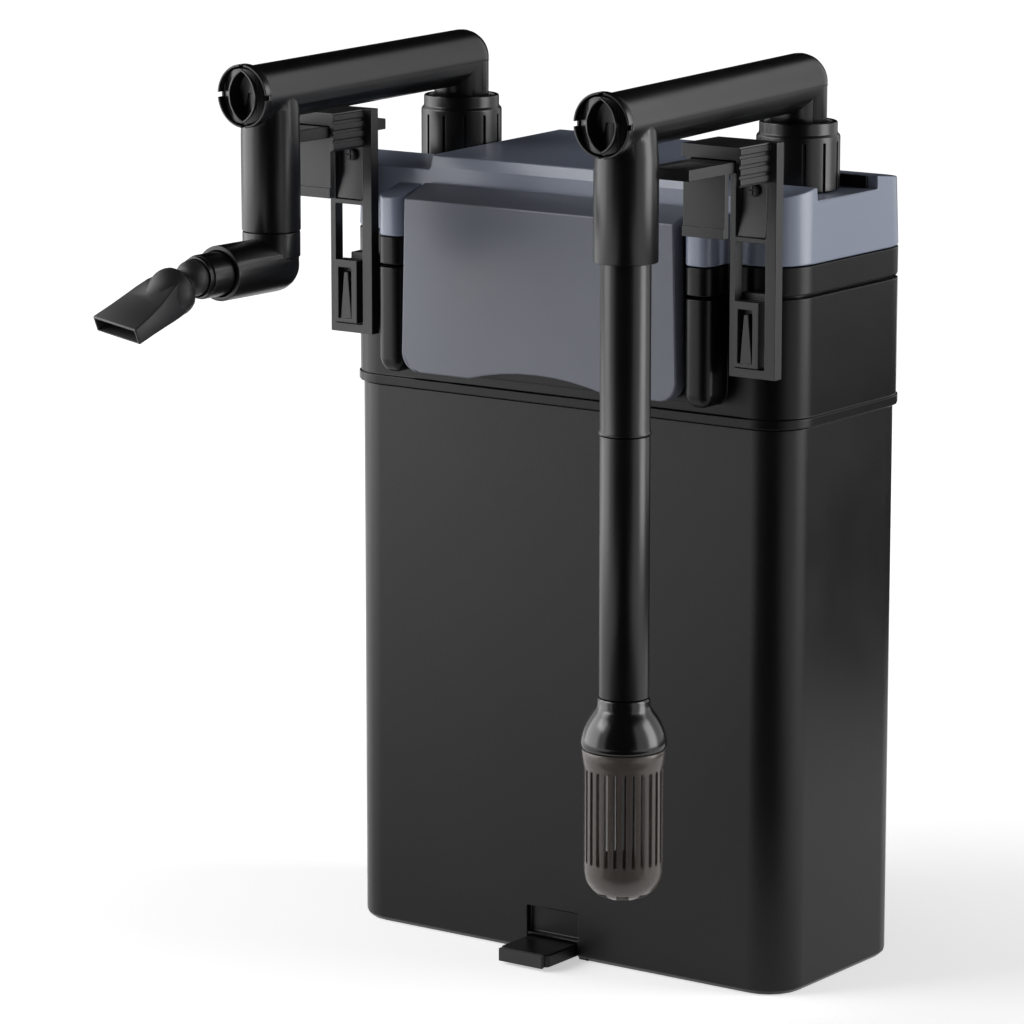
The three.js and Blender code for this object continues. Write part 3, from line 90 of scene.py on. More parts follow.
def rgb(code):
    """A hex colour as the linear values that shaders take."""
    parts = [int(code[i : i + 2], 16) / 255 for i in (0, 2, 4)]
    return tuple(c / 12.92 if c <= 0.04045 else ((c + 0.055) / 1.055) ** 2.4 for c in parts)


# ---------------------------------------------------------------- settings
def colour(label, code, use):
    return bpy.props.FloatVectorProperty(
        name=label, description=use, subtype="COLOR", size=3, min=0, max=1, default=rgb(code)
    )


def length(label, value, use):
    return bpy.props.FloatProperty(
        name=label, description=use, default=value * MM, min=0, precision=5, unit="LENGTH"
    )


class FilterColours(bpy.types.PropertyGroup):
    tub: colour("Canister", "0f0f11", "Satin black of the canister and its foot")
    head: colour("Head", "0b0b0d", "Black of the head, the collar and the bay walls")
    cover: colour("Cover", "7c8395", "Blue grey of the top cover")
    # The flap is moulded in the cover's material; this darker grey is painted shade that makes it look less lit than
    # the cover
    flap: colour("Flap", "60636e", "Blue grey of the front flap")
    pipe: colour("Pipes", "0d0d0e", "Gloss black of the arms, tubes and nuts")
    bracket: colour("Brackets", "202022", "Dark grey of the hanging brackets and hooks")
    nozzle: colour("Nozzle", "29292b", "Dark grey of the duckbill nozzle")
    smoke: colour("Strainer cage", "66564d", "Tint of the see-through strainer cage")
    rubber: colour("Rubber", "161616", "Black of seals and the foot's pad")
    steel: colour("Steel", "77797c", "Dulled steel of the pad screws and the shafts")


class FilterSizes(bpy.types.PropertyGroup):
    sides: bpy.props.IntProperty(
        name="Sides", description="Sides of a pipe all the way round", default=72, min=24, max=128
    )
    edge: length("Edge", 0.45, "Rounding of the moulded edges of large pieces")
    fine_edge: length("Fine edge", 0.28, "Rounding of the edges of small pieces")
    arm_radius: length("Arm radius", 9.2, "Radius of the pipe arms")
    tube_radius: length("Tube radius", 7.85, "Radius of the telescoping suction tube")
    nut_radius: length("Nut radius", 13.5, "Radius of the union nuts")
    cage_radius: length("Cage radius", 12.3, "Radius of the slotted strainer cage")
    grain: length("Grain", 0.03, "Depth of the spark-eroded grain on the canister")


def sizes():
    return bpy.context.scene.filter_sizes


def colours():
    return bpy.context.scene.filter_colours


# ---------------------------------------------------------------- materials
def node(tree, kind, **values):
    made = tree.nodes.new(kind)
    for key, value in values.items():
        setattr(made, key, value)
    return made


def noise(tree, coords, scale, detail):
    made = node(tree, "ShaderNodeTexNoise")
    made.inputs["Scale"].default_value = scale
    made.inputs["Detail"].default_value = detail
    tree.links.new(coords, made.inputs["Vector"])
    return made.outputs["Fac"]


def ranged(tree, value, low, high):
    made = node(tree, "ShaderNodeMapRange")
    made.inputs["From Min"].default_value = 0.3
    made.inputs["From Max"].default_value = 0.7
    made.inputs["To Min"].default_value = low
    made.inputs["To Max"].default_value = high
    tree.links.new(value, made.inputs["Value"])
    return made.outputs["Result"]


def tinted(base, factor):
    return tuple(min(1.0, c * factor) for c in base) + (1.0,)


def finish(
    name, base, rough, grain=900.0, depth=0.02, spread=0.08, rough_spread=0.025, specular=0.5, metallic=0.0,
    patch=18.0, streak=(1.0, 1.0, 1.0),
):
    """A moulded finish: uneven colour, uneven roughness and a fine grain that stands off the surface.

    A material that the frame already holds under the name is returned as it is, plain. That happens to carbon,
    ceramic, ferrite, rubber, smoke and steel, so what they ask for and their colours in the panel change nothing.
    """
    made = bpy.data.materials.get(name)
    if made is not None:
        return made
    made = bpy.data.materials.new(name)
    made.use_nodes = True
    tree = made.node_tree
    shader = tree.nodes["Principled BSDF"]
    place = node(tree, "ShaderNodeTexCoord")
    turn = node(tree, "ShaderNodeMapping")
    turn.inputs["Scale"].default_value = streak
    tree.links.new(place.outputs["Object"], turn.inputs["Vector"])
    coords = turn.outputs["Vector"]
    mix = node(tree, "ShaderNodeMix", data_type="RGBA")
    mix.inputs[6].default_value = tinted(base, 1 - spread)
    mix.inputs[7].default_value = tinted(base, 1 + spread)
    tree.links.new(ranged(tree, noise(tree, coords, patch, 1.5), 0, 1), mix.inputs[0])
    tree.links.new(mix.outputs[2], shader.inputs["Base Color"])
    rough_out = ranged(tree, noise(tree, coords, patch * 2.3, 1.5), rough - rough_spread, rough + rough_spread)
    tree.links.new(rough_out, shader.inputs["Roughness"])
    bump = node(tree, "ShaderNodeBump")
    bump.inputs["Strength"].default_value = 1.0
    bump.inputs["Distance"].default_value = depth * MM
    tree.links.new(noise(tree, place.outputs["Object"], grain, 3.0), bump.inputs["Height"])
    tree.links.new(bump.outputs["Normal"], shader.inputs["Normal"])
    shader.inputs["Metallic"].default_value = metallic
    shader.inputs["Specular IOR Level"].default_value = specular
    return made


def tub_black():
    grain = sizes().grain / MM
    return finish("tub black", tuple(colours().tub), 0.34, grain=1500, depth=grain, spread=0.08, specular=0.25)


def head_black():
    return finish("head black", tuple(colours().head), 0.32, grain=1300, depth=0.015, specular=0.2)


def pipe_black():
    return finish("pipe black", tuple(colours().pipe), 0.3, grain=700, depth=0.012, specular=0.42)


def cover_grey():
    return finish("cover grey", tuple(colours().cover), 0.3, grain=1400, depth=0.015, spread=0.05, specular=0.55)


# The cover's grey made darker for the flap: painted shade
def cover_grey_painted_shade():
    return finish("cover grey painted shade", tuple(colours().flap), 0.3, grain=1400, depth=0.015, spread=0.05, specular=0.4)


def bracket_black():
    return finish("bracket black", tuple(colours().bracket), 0.42, grain=1100, depth=0.025, specular=0.4)


def nozzle_grey():
    return finish("nozzle grey", tuple(colours().nozzle), 0.44, grain=1200, depth=0.02, specular=0.45)


def rubber():
    return finish("rubber", tuple(colours().rubber), 0.75, grain=1800, depth=0.04, specular=0.3)


def steel():
    return finish("steel", tuple(colours().steel), 0.42, grain=300, depth=0.01, metallic=1.0, streak=(1, 1, 14))


def gloss_black():
    return finish("gloss black", tuple(colours().pipe), 0.2, grain=500, depth=0.006, specular=0.5)


def smoke():
    """Smoky see-through plastic: the frame's own plain material, made partly see-through."""
    made = finish("smoke", tuple(colours().smoke), 0.2, grain=500, depth=0.01, specular=0.5)
    shader = made.node_tree.nodes["Principled BSDF"]
    shader.inputs["Transmission Weight"].default_value = 0.45
    shader.inputs["IOR"].default_value = 1.46
    return made


# ---------------------------------------------------------------- modelling by hand
def rest():
    """Leaves edit mode and deselects everything."""
    if bpy.context.object and bpy.context.object.mode != "OBJECT":
        bpy.ops.object.mode_set(mode="OBJECT")
    bpy.ops.object.select_all(action="DESELECT")


def pick(obj):
    rest()
    obj.select_set(True)
    bpy.context.view_layer.objects.active = obj


def edit(obj):
    pick(obj)
    bpy.ops.object.mode_set(mode="EDIT")


def select_edges(obj, test):
    """In edit mode, selects the edges whose two ends pass a test."""
    bpy.ops.mesh.select_mode(type="EDGE")
    bpy.ops.mesh.select_all(action="DESELECT")
    mesh = bmesh.from_edit_mesh(obj.data)
    for line in mesh.edges:
        if test(line.verts[0].co, line.verts[1].co):
            line.select_set(True)
    bmesh.update_edit_mesh(obj.data)


def named(name):
    made = bpy.context.object
    made.name = name
    made.data.name = name
    return made


def placed(obj, matrix):
    """Moves a finished shape to its place and leaves its object at the origin."""
    pick(obj)
    obj.matrix_world = matrix
    bpy.context.view_layer.update()
    bpy.ops.object.transform_apply(location=True, rotation=True, scale=True)
    return obj


def modified(obj, kind, **values):
    """Adds one modifier and applies it."""
    pick(obj)
    made = obj.modifiers.new(kind.title(), kind)
    for key, value in values.items():
        setattr(made, key, value)
    bpy.ops.object.modifier_apply(modifier=made.name)
    return obj


def rounded(obj, width, segments=3, angle=34):
    """Rounds the edges that turn by more than an angle."""
    return modified(
        obj, "BEVEL", width=width, segments=segments, limit_method="ANGLE", angle_limit=math.radians(angle),
        use_clamp_overlap=False, miter_outer="MITER_ARC", profile=0.5, face_strength_mode="FSTR_ALL",
    )


def standing(obj):
    """Presses whatever a rounded corner pushed under the table back up to it."""
    edit(obj)
    bpy.ops.mesh.select_mode(type="VERT")
    mesh = bmesh.from_edit_mesh(obj.data)
    for vert in mesh.verts:
        vert.select_set(vert.co.z < 0)
    mesh.select_flush_mode()
    bmesh.update_edit_mesh(obj.data)
    bpy.ops.transform.resize(value=(1, 1, 0), center_override=(0, 0, 0))
    rest()


def smoothed(obj, angle=38, weighted=True):
    pick(obj)
    bpy.ops.object.shade_smooth_by_angle(angle=math.radians(angle), keep_sharp_edges=True)
    if weighted:
        modified(obj, "WEIGHTED_NORMAL", keep_sharp=True, weight=60, use_face_influence=True)
    return obj


def facing_out(obj):
    edit(obj)
    bpy.ops.mesh.select_all(action="SELECT")
    bpy.ops.mesh.remove_doubles(threshold=1e-6)
    bpy.ops.mesh.normals_make_consistent(inside=False)
    rest()
    return obj


def turned(name, profile, sides=None, closed=False):
    """A turned solid about Z from (radius, height) pairs in millimetres, with caps, or a closed ring."""
    radius, height = profile[0]
    rest()
    bpy.ops.mesh.primitive_circle_add(
        vertices=sides or sizes().sides, radius=radius * MM, fill_type="NOTHING" if closed else "NGON",
        location=(0, 0, height * MM),
    )
    made = named(name)
    bpy.ops.object.transform_apply(location=True)
    edit(made)
    bpy.ops.mesh.select_all(action="SELECT")
    for next_radius, next_height in profile[1:] + (profile[:1] if closed else []):
        bpy.ops.mesh.extrude_region_move(
            TRANSFORM_OT_translate={"value": (0, 0, (next_height - height) * MM)}
        )
        scale = next_radius / radius
        bpy.ops.transform.resize(value=(scale, scale, 1), center_override=(0, 0, next_height * MM))
        radius, height = next_radius, next_height
    return facing_out(made)


def box(name, low, high):
    """A block between two corners in millimetres, ready to be shaped."""
    rest()
    bpy.ops.mesh.primitive_cube_add(
        size=1, location=[(a + b) / 2 * MM for a, b in zip(low, high)],
        scale=[(b - a) * MM for a, b in zip(low, high)],
    )
    made = named(name)
    bpy.ops.object.transform_apply(location=True, rotation=True, scale=True)
    return made


def rod(name, radius, start, end, sides=None):
    """A plain round cutter along Z in millimetres."""
    return turned(name, [(radius, start), (radius, end)], sides)


def united(obj, *others, operation="UNION"):
    """Joins shapes to one skin, or cuts them from it, and removes what was used."""
    for other in others:
        modified(obj, "BOOLEAN", object=other, operation=operation, solver="EXACT")
        bpy.data.objects.remove(other)
        if not obj.data.polygons:
            raise RuntimeError(f"Nothing is left of {obj.name}")
    return obj


def carved(obj, *cutters):
    return united(obj, *cutters, operation="DIFFERENCE")


def joined(name, *objs):
    """Several loose shapes as one object."""
    rest()
    for obj in objs:
        obj.select_set(True)
    bpy.context.view_layer.objects.active = objs[0]
    bpy.ops.object.join()
    return named(name)


def copied(obj, name):
    made = obj.copy()
    made.data = obj.data.copy()
    made.name = name
    made.data.name = name
    bpy.context.scene.collection.objects.link(made)
    return made


def along(axis, origin=(0, 0, 0)):
    """The matrix that lays a shape modelled along Z onto another axis."""
    turn = {
        "y": Matrix.Rotation(math.radians(-90), 4, "X"),
        "-y": Matrix.Rotation(math.radians(90), 4, "X"),
    }[axis]
    return Matrix.Translation([c * MM for c in origin]) @ turn


def from_frame(cad_node, name, width=0.0, segments=3, angle=34, cuts=()):
    """A finer copy of a solid of the frame: its loose triangles merged into faces and its edges rounded.

    Each cut is a plane, as a normal and a place along it, that keeps a face from wrapping round an opening.
    """
    source = frame["nodes"][cad_node]
    made = bpy.data.objects.new(name, source.data.copy())
    made.data.name = name
    bpy.context.scene.collection.objects.link(made)
    made.data.materials.clear()
    edit(made)
    bpy.ops.mesh.select_all(action="SELECT")
    bpy.ops.mesh.remove_doubles(threshold=MERGED)
    bpy.ops.mesh.dissolve_limited(angle_limit=FLAT_WITHIN)
    for normal, place in cuts:
        bpy.ops.mesh.select_all(action="SELECT")
        bpy.ops.mesh.bisect(plane_co=[c * place * MM for c in normal], plane_no=normal)
    bpy.ops.mesh.select_all(action="SELECT")
    bpy.ops.mesh.vert_connect_concave()
    bpy.ops.mesh.customdata_custom_splitnormals_clear()
    rest()
    if width:
        rounded(made, width, segments, angle)
    return made


def dressed(obj, material, body, slot, *nodes):
    """Gives a finished piece its material, the body that it moves with and the solids that it stands for."""
    obj.data.materials.clear()
    obj.data.materials.append(material)
    for face in obj.data.polygons:
        face.material_index = 0
    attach(obj, body)
    if nodes:
        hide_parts(*nodes)
    return obj


# ---------------------------------------------------------------- places
def side_matrix(side):
    """The place of an arm's own frame: +1 is the suction side and -1 the outlet side."""
    return Matrix.Translation((side * RISER_X, 0, 0)) @ Matrix.Rotation(side * ARM_SPLAY, 4, "Z")


def falling():
    """The place of an arm's corner and its slope towards the tank."""
    return Matrix.Translation((0, 0, ARM_Z)) @ Matrix.Rotation(ARM_FALL, 4, "X")


def dome(radius, steps=9):
    """The (radius, height) pairs of a half ball whose middle is at height 0."""
    pairs = []
    for step in range(steps):
        angle = math.pi / 2 * (step + 0.12) / (steps - 1 + 0.12)
        pairs.append((radius * math.sin(angle), -radius * math.cos(angle)))
    return pairs


def foam(name, base, grain):
    """Open-cell foam: deep pores and a dull surface."""
    return finish(name, base, 0.92, grain=grain, depth=0.5, spread=0.25, specular=0.15, patch=300)


# ---------------------------------------------------------------- canister, foot, head
def make_tub():
    pocket = [((1, 0, 0), side) for side in POCKET_SIDES] + [((0, 0, 1), POCKET_TOP)]
    tub = from_frame("canister", "tub_shell", width=sizes().edge, segments=3, cuts=pocket)
    standing(tub)
    smoothed(tub, 30)
    dressed(tub, tub_black(), "tub", "can_black", "canister")
    foot = from_frame("levelling_foot", "foot_slide", width=sizes().edge * 1.3, segments=4)
    smoothed(foot, 34)
    dressed(foot, tub_black(), "foot", "can_black", "levelling_foot")
    pad = from_frame("foot_pad", "foot_cushion", width=sizes().fine_edge, segments=3)
    smoothed(pad)
    dressed(pad, rubber(), "foot", "rubber", "foot_pad")


def make_head():
    head = from_frame("head_base", "head_shell", width=sizes().edge, segments=3)
    smoothed(head, 32)
    dressed(head, head_black(), "head", "head_black", "head_base")
    collar = from_frame("head_collar", "collar_band", width=sizes().edge, segments=3)
    smoothed(collar, 32)
    dressed(collar, head_black(), "head", "head_black", "head_collar")
    for hand in ("right", "left"):
        liner = from_frame(f"bay_liner_{hand}", f"bay_wall_{hand}", width=sizes().fine_edge)
        smoothed(liner)
        dressed(liner, head_black(), "head", "head_black", f"bay_liner_{hand}")


def make_cover():
    cover = from_frame("top_cover", "cover_shell", width=sizes().edge * 1.2, segments=3, angle=26)
    smoothed(cover, 34)
    dressed(cover, cover_grey(), "head", "cover_grey", "top_cover")


def make_flap():
    flap = from_frame("front_flap", "flap_panel", width=sizes().edge * 1.3, segments=4, angle=30)
    smoothed(flap, 30)
    dressed(flap, cover_grey_painted_shade(), "flap", "cover_grey", "front_flap")


# ---------------------------------------------------------------- union nuts
def make_nuts():
    radius = sizes().nut_radius / MM
    crown, bore = radius - 0.9, 9.6
    nut = turned(
        "union_nut_right",
        [
            (bore, 258.5), (radius - 0.35, 258.5), (radius, 258.9), (radius, 275.5), (radius - 0.25, 276.1),
            (crown + 0.12, 276.6), (crown, 277.1), (crown, 279.9), (crown - 0.15, 280.25), (crown - 0.45, 280.4),
            (crown - 1.1, 280.4), (crown - 1.45, 280.2), (crown - 1.6, 279.8), (crown - 1.65, 278.9), (bore, 278.7),
        ],
        closed=True,
    )
    slits = []
    for index in range(NUT_SLITS):
        slit = box("slit", (radius - 0.8, -0.5, 257), (radius + 1, 0.5, 274.2))
        placed(slit, Matrix.Rotation(math.radians(360 / NUT_SLITS * (index + 0.35)), 4, "Z"))
        slits.append(slit)
    carved(nut, joined("slits", *slits))
    rounded(nut, 0.16 * MM, 2, angle=50)
    smoothed(nut, 40)
    other = copied(nut, "union_nut_left")
    placed(nut, Matrix.Translation((RISER_X, 0, 0)))
    placed(other, Matrix.Translation((-RISER_X, 0, 0)))
    dressed(nut, pipe_black(), "intake_nut_ring", "pipe_black", "intake_nut")
    dressed(other, pipe_black(), "outlet_nut_ring", "pipe_black", "outlet_nut")


# ---------------------------------------------------------------- arms and plugs
def make_arm(name, side, leg_radius, leg_bottom, body, cad_node):
    radius = sizes().arm_radius / MM
    end, collar, rim = ARM_END, 10.2, 9.4
    pipe = turned(
        name,
        dome(radius)
        + [
            (radius, end - 3.4), (collar - 0.35, end - 3.2), (collar, end - 2.8), (collar, end - 0.35),
            (collar - 0.12, end - 0.08), (collar - 0.3, end), (rim + 0.2, end), (rim, end - 0.25), (rim, end - 2.3),
            (8.6, end - 2.5), (8.6, end - 5.9),
        ],
    )
    placed(pipe, falling() @ along("-y"))
    riser = turned("riser", [(radius - 0.4, 262.6), (radius - 0.08, 263.0), (radius - 0.08, 291.9)])
    leg = turned(
        "leg",
        [
            (sizes().tube_radius / MM + 0.3, 281), (sizes().tube_radius / MM + 0.3, leg_bottom + 0.3),
            (sizes().tube_radius / MM + 0.55, leg_bottom), (leg_radius - 0.35, leg_bottom),
            (leg_radius - 0.1, leg_bottom + 0.1), (leg_radius, leg_bottom + 0.4), (leg_radius, 276),
            (leg_radius - 0.1, 279), (radius + 0.2, 284), (radius - 0.05, 287.5), (radius - 0.08, 290.2),
        ],
    )
    placed(leg, Matrix.Translation((0, -ARM_REACH, 0)))
    united(pipe, riser, leg)
    notches = []
    for index in range(TEE_NOTCHES):
        notch = box("notch", (6.6, -0.8, end - 2.2), (collar + 1, 0.8, end + 1))
        placed(notch, falling() @ along("-y") @ Matrix.Rotation(math.radians(360 / TEE_NOTCHES * index), 4, "Z"))
        notches.append(notch)
    carved(pipe, joined("notches", *notches))
    rounded(pipe, 0.12 * MM, 2, angle=62)
    smoothed(pipe, 40, weighted=False)
    placed(pipe, side_matrix(side))
    dressed(pipe, pipe_black(), body, "pipe_black", cad_node)


def make_arms():
    make_arm("suction_arm", 1, 10.0, 246.7, "intake_pipe", "intake_arm")
    make_arm("return_arm", -1, 9.5, 245.5, "outlet_pipe", "outlet_arm")


def lens(name, half_width, half_height, start, end, sides=96):
    """A lens-shaped rod along Z where two wide rods cross."""
    arc = (half_height**2 + half_width**2) / (2 * half_width)
    one = placed(rod(name, arc, start, end, sides), Matrix.Translation(((arc - half_width) * MM, 0, 0)))
    two = placed(rod("arc", arc, start, end, sides), Matrix.Translation(((half_width - arc) * MM, 0, 0)))
    return united(one, two, operation="INTERSECT")


def make_plugs():
    end = ARM_END
    plug = turned(
        "tee_plug_right",
        [
            (8.1, end - 5.6), (8.3, end - 5.4), (8.3, end - 2.3), (9.1, end - 2.1), (9.1, end - 0.9),
            (8.9, end - 0.45), (8.5, end - 0.2), (4, end - 0.2), (0.4, end - 0.2),
        ],
    )
    barrel = placed(rod("barrel", 20, -12, 12, 128), along("y", (0, 0, end - 0.2 - 20)))
    united(plug, barrel, operation="INTERSECT")
    ridge = lens("ridge", 5.6, 8.6, end - 3, end)
    united(plug, ridge)
    carved(plug, lens("pocket", 4.95, 7.9, end - 5.1, end + 1))
    rounded(plug, 0.14 * MM, 2, angle=50)
    smoothed(plug, 40, weighted=False)
    placed(plug, falling() @ along("-y"))
    other = copied(plug, "tee_plug_left")
    placed(plug, side_matrix(1))
    placed(other, side_matrix(-1))
    dressed(plug, pipe_black(), "intake_plug", "pipe_black", "intake_end_plug")
    dressed(other, pipe_black(), "outlet_plug", "pipe_black", "outlet_end_plug")


# ---------------------------------------------------------------- suction tube and strainer
def leg_matrix(side):
    return side_matrix(side) @ Matrix.Translation((0, -ARM_REACH, 0))


def make_tubes():
    radius = sizes().tube_radius / MM
    upper = turned(
        "suction_tube_upper",
        [
            (6.3, 203), (6.3, 193.4), (radius, 193.4), (radius + 0.28, 193.5), (radius + 0.35, 193.8),
            (radius + 0.32, 194.3), (radius, 194.7), (radius, 262.8), (radius - 0.4, 263.2),
        ],
    )
    lower = turned(
        "suction_tube_lower",
        [
            (radius - 0.4, 110.8), (radius - 0.08, 110.9), (radius, 111.2), (radius, 192.7), (radius - 0.1, 193.0),
            (radius - 0.35, 193.1), (6.0, 193.1), (6.0, 200.8), (5.7, 201.1),
        ],
    )
    for tube, cad_node in ((upper, "intake_tube_upper"), (lower, "intake_tube_lower")):
        smoothed(tube, 40, weighted=False)
        placed(tube, leg_matrix(1))
        dressed(tube, pipe_black(), "intake_tube", "pipe_black", cad_node)


def make_strainer():
    cap = turned(
        "strainer_shoulder",
        [
            (11.6, 97.2), (11.6, 94.6), (12.6, 94.6), (13.1, 94.75), (13.4, 95.2), (13.5, 96.0), (13.45, 97.0),
            (13.15, 98.5), (12.75, 100), (12.2, 101.5), (11.5, 102.9), (10.7, 104.3), (9.8, 105.6), (9.05, 106.6),
            (8.55, 107.4), (8.3, 108.2), (8.25, 109.7), (8.15, 110.2), (7.9, 110.5),
        ],
    )
    smoothed(cap, 42, weighted=False)
    placed(cap, leg_matrix(1))
    dressed(cap, gloss_black(), "intake_tube", "pipe_black", "strainer_cap")
    radius = sizes().cage_radius / MM
    inner = radius - 1.4
    cage = turned(
        "strainer_cage_shell",
        [
            (0.3, 46.5), (4.4, 46.5), (6.6, 47.0), (8.4, 47.95), (9.9, 49.3), (11.1, 51.0), (11.9, 52.8),
            (radius, 55.2), (radius, 88.6), (radius + 0.35, 89.3), (radius + 0.75, 93.9), (radius + 0.6, 94.3),
            (inner + 0.3, 94.3), (inner, 94.0), (inner, 55.4), (inner - 0.35, 53.5), (9.7, 51.8), (8.8, 50.4),
            (7.6, 49.2), (6.2, 48.4), (4.2, 47.9), (0.3, 47.9),
        ],
        sides=104,
    )
    cutters = []
    for index in range(CAGE_SLOTS):
        slot = box("slot", (inner - 1.5, -0.6, 58.3), (radius + 2, 0.6, 88.3))
        edit(slot)
        select_edges(slot, lambda a, b: abs(a.y - b.y) < 1e-7 and abs(a.z - b.z) < 1e-7)
        bpy.ops.mesh.bevel(offset=0.55 * MM, segments=4, affect="EDGES")
        rest()
        placed(slot, Matrix.Rotation(math.radians(360 / CAGE_SLOTS * index), 4, "Z"))
        cutters.append(slot)
    for index in range(CAGE_WINDOWS):
        window = box("window", (5.7, -1.9, 45), (9.4, 1.9, 51.6))
        placed(window, Matrix.Rotation(math.radians(360 / CAGE_WINDOWS * index + 32), 4, "Z"))
        cutters.append(window)
    carved(cage, joined("openings", *cutters))
    rounded(cage, 0.1 * MM, 1, angle=60)
    smoothed(cage, 40, weighted=False)
    placed(cage, leg_matrix(1))
    dressed(cage, smoke(), "strainer", "smoke", "strainer_cage")


# ---------------------------------------------------------------- outlet elbow, sleeve and nozzle
def make_elbow():
    reach = 26.6
    elbow = turned(
        "outlet_bend",
        dome(8.9)
        + [
            (8.9, reach - 0.5), (8.8, reach - 0.12), (8.5, reach), (7.65, reach), (7.4, reach - 0.25),
            (7.4, reach - 9.3),
        ],
    )
    placed(elbow, along("-y", (0, 0, ELBOW_Z)))
    top = 245.2
    neck = turned(
        "neck",
        [
            (8.82, ELBOW_Z + 1), (8.82, ELBOW_Z + 2.4), (9.2, ELBOW_Z + 2.7), (9.3, ELBOW_Z + 3.0), (9.3, top - 0.4),
            (9.2, top - 0.1), (8.95, top), (7.85, top), (7.85, top + 12.7), (7.5, top + 13),
        ],
    )
    united(elbow, neck)
    smoothed(elbow, 40, weighted=False)
    placed(elbow, leg_matrix(-1))
    dressed(elbow, pipe_black(), "elbow", "pipe_black", "outlet_elbow")


def make_sleeve():
    sleeve = turned(
        "swivel_sleeve",
        [
            (4.7, 24), (4.7, 34.95), (5.3, 35.8), (5.8, 36.8), (6.08, 37.8), (6.35, 37.8), (6.5, 37.7),
            (6.55, 37.4), (6.6, 36.3), (6.85, 36.1), (7.0, 35.95), (7.1, 35.6), (7.1, 18.0), (6.7, 17.6),
        ],
    )
    smoothed(sleeve, 40, weighted=False)
    placed(sleeve, leg_matrix(-1) @ along("-y", (0, 0, ELBOW_Z)))
    dressed(sleeve, pipe_black(), "sleeve", "pipe_black", "nozzle_socket")


def flat_bill(name, sections):
    """A flat tapering body along Z, from (height, half width, half depth) sections in millimetres."""
    height, half_width, half_depth = sections[0]
    rest()
    bpy.ops.mesh.primitive_plane_add(size=2, location=(0, 0, height * MM))
    made = named(name)
    made.scale = (half_width * MM, half_depth * MM, 1)
    bpy.ops.object.transform_apply(location=True, rotation=True, scale=True)
    edit(made)
    bpy.ops.mesh.select_all(action="SELECT")
    for next_height, next_width, next_depth in sections[1:]:
        bpy.ops.mesh.extrude_region_move(
            TRANSFORM_OT_translate={"value": (0, 0, (next_height - height) * MM)}
        )
        bpy.ops.transform.resize(
            value=(next_width / half_width, next_depth / half_depth, 1), center_override=(0, 0, next_height * MM)
        )
        height, half_width, half_depth = next_height, next_width, next_depth
    return facing_out(made)


def make_nozzle():
    neck = turned(
        "nozzle_bill",
        dome(5.9, 8)
        + [(5.75, 1.2), (5.3, 2.4), (4.7, 3.2), (4.6, 3.6), (5.2, 3.75), (5.4, 4.1), (5.2, 4.5), (5.5, 4.7),
           (6.5, 5.1), (7.2, 5.9), (7.7, 7.1), (7.95, 8.5), (7.9, 10.0), (7.5, 11.6), (6.8, 13.2), (5.9, 14.9),
           (4.95, 16.8), (4.0, 18.9), (3.0, 21.2), (2.0, 23.4), (1.0, 25.2)],
        sides=64,
    )
    bill = flat_bill(
        "bill",
        [(8.0, 5.6, 5.2), (12, 6.9, 5.2), (16, 8.0, 4.6), (20, 8.9, 3.9), (26, 9.8, 3.2), (33.2, 10.6, 2.75)],
    )
    rounded(bill, 0.5 * MM, 3, angle=40)
    united(neck, bill)
    mouth = flat_bill("mouth", [(12, 2.4, 1.4), (20, 7.9, 2.8), (26, 8.9, 2.4), (34.5, 9.85, 2.0)])
    carved(neck, rounded(mouth, 0.35 * MM, 2, angle=40))
    rounded(neck, 0.16 * MM, 2, angle=62)
    smoothed(neck, 34, weighted=False)
    turn = (
        Matrix.Rotation(math.radians(-12), 4, "Z")
        @ Matrix.Rotation(math.radians(24), 4, "X")
        @ Matrix.Rotation(math.radians(6), 4, "Y")
    )
    placed(neck, leg_matrix(-1) @ Matrix.Translation((0, -BALL_AT * MM, ELBOW_Z * MM)) @ turn @ along("-y"))
    dressed(neck, nozzle_grey(), "spout", "nozzle_grey", "nozzle")


# ---------------------------------------------------------------- hanging brackets
BRACKET_PARTS = (
    ("bracket", "hanger", "ladder"),
    ("hook", "rim_hook", "rim_hook"),
    ("rim_pad", "pad_plate", "ladder"),
    ("bracket_clip", "hanger_clip", "head"),
)


def thinned_clip(hand, name):
    """The clip on the head, cut back on its outer side behind the ladder."""
    clip = from_frame(f"bracket_clip_{hand}", name)
    low, high = (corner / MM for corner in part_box(f"bracket_clip_{hand}"))
    if hand == "right":
        start, end = high.x - CLIP_RELIEF, high.x + 1
    else:
        start, end = low.x - 1, low.x + CLIP_RELIEF
    carved(clip, box("relief", (start, CLIP_BACK, low.z - 1), (end, high.y + 1, high.z + 1)))
    return rounded(clip, sizes().fine_edge, 2)


def make_brackets():
    for hand in ("right", "left"):
        for cad_name, piece_name, body in BRACKET_PARTS:
            cad_node, name = f"{cad_name}_{hand}", f"{piece_name}_{hand}"
            if cad_name == "bracket_clip":
                piece = thinned_clip(hand, name)
            else:
                piece = from_frame(cad_node, name, width=sizes().fine_edge, segments=2)
            smoothed(piece)
            rides = body if body == "head" else f"{body}_{hand}"
            dressed(piece, bracket_black(), rides, "bracket_black", cad_node)
        make_screw(hand)


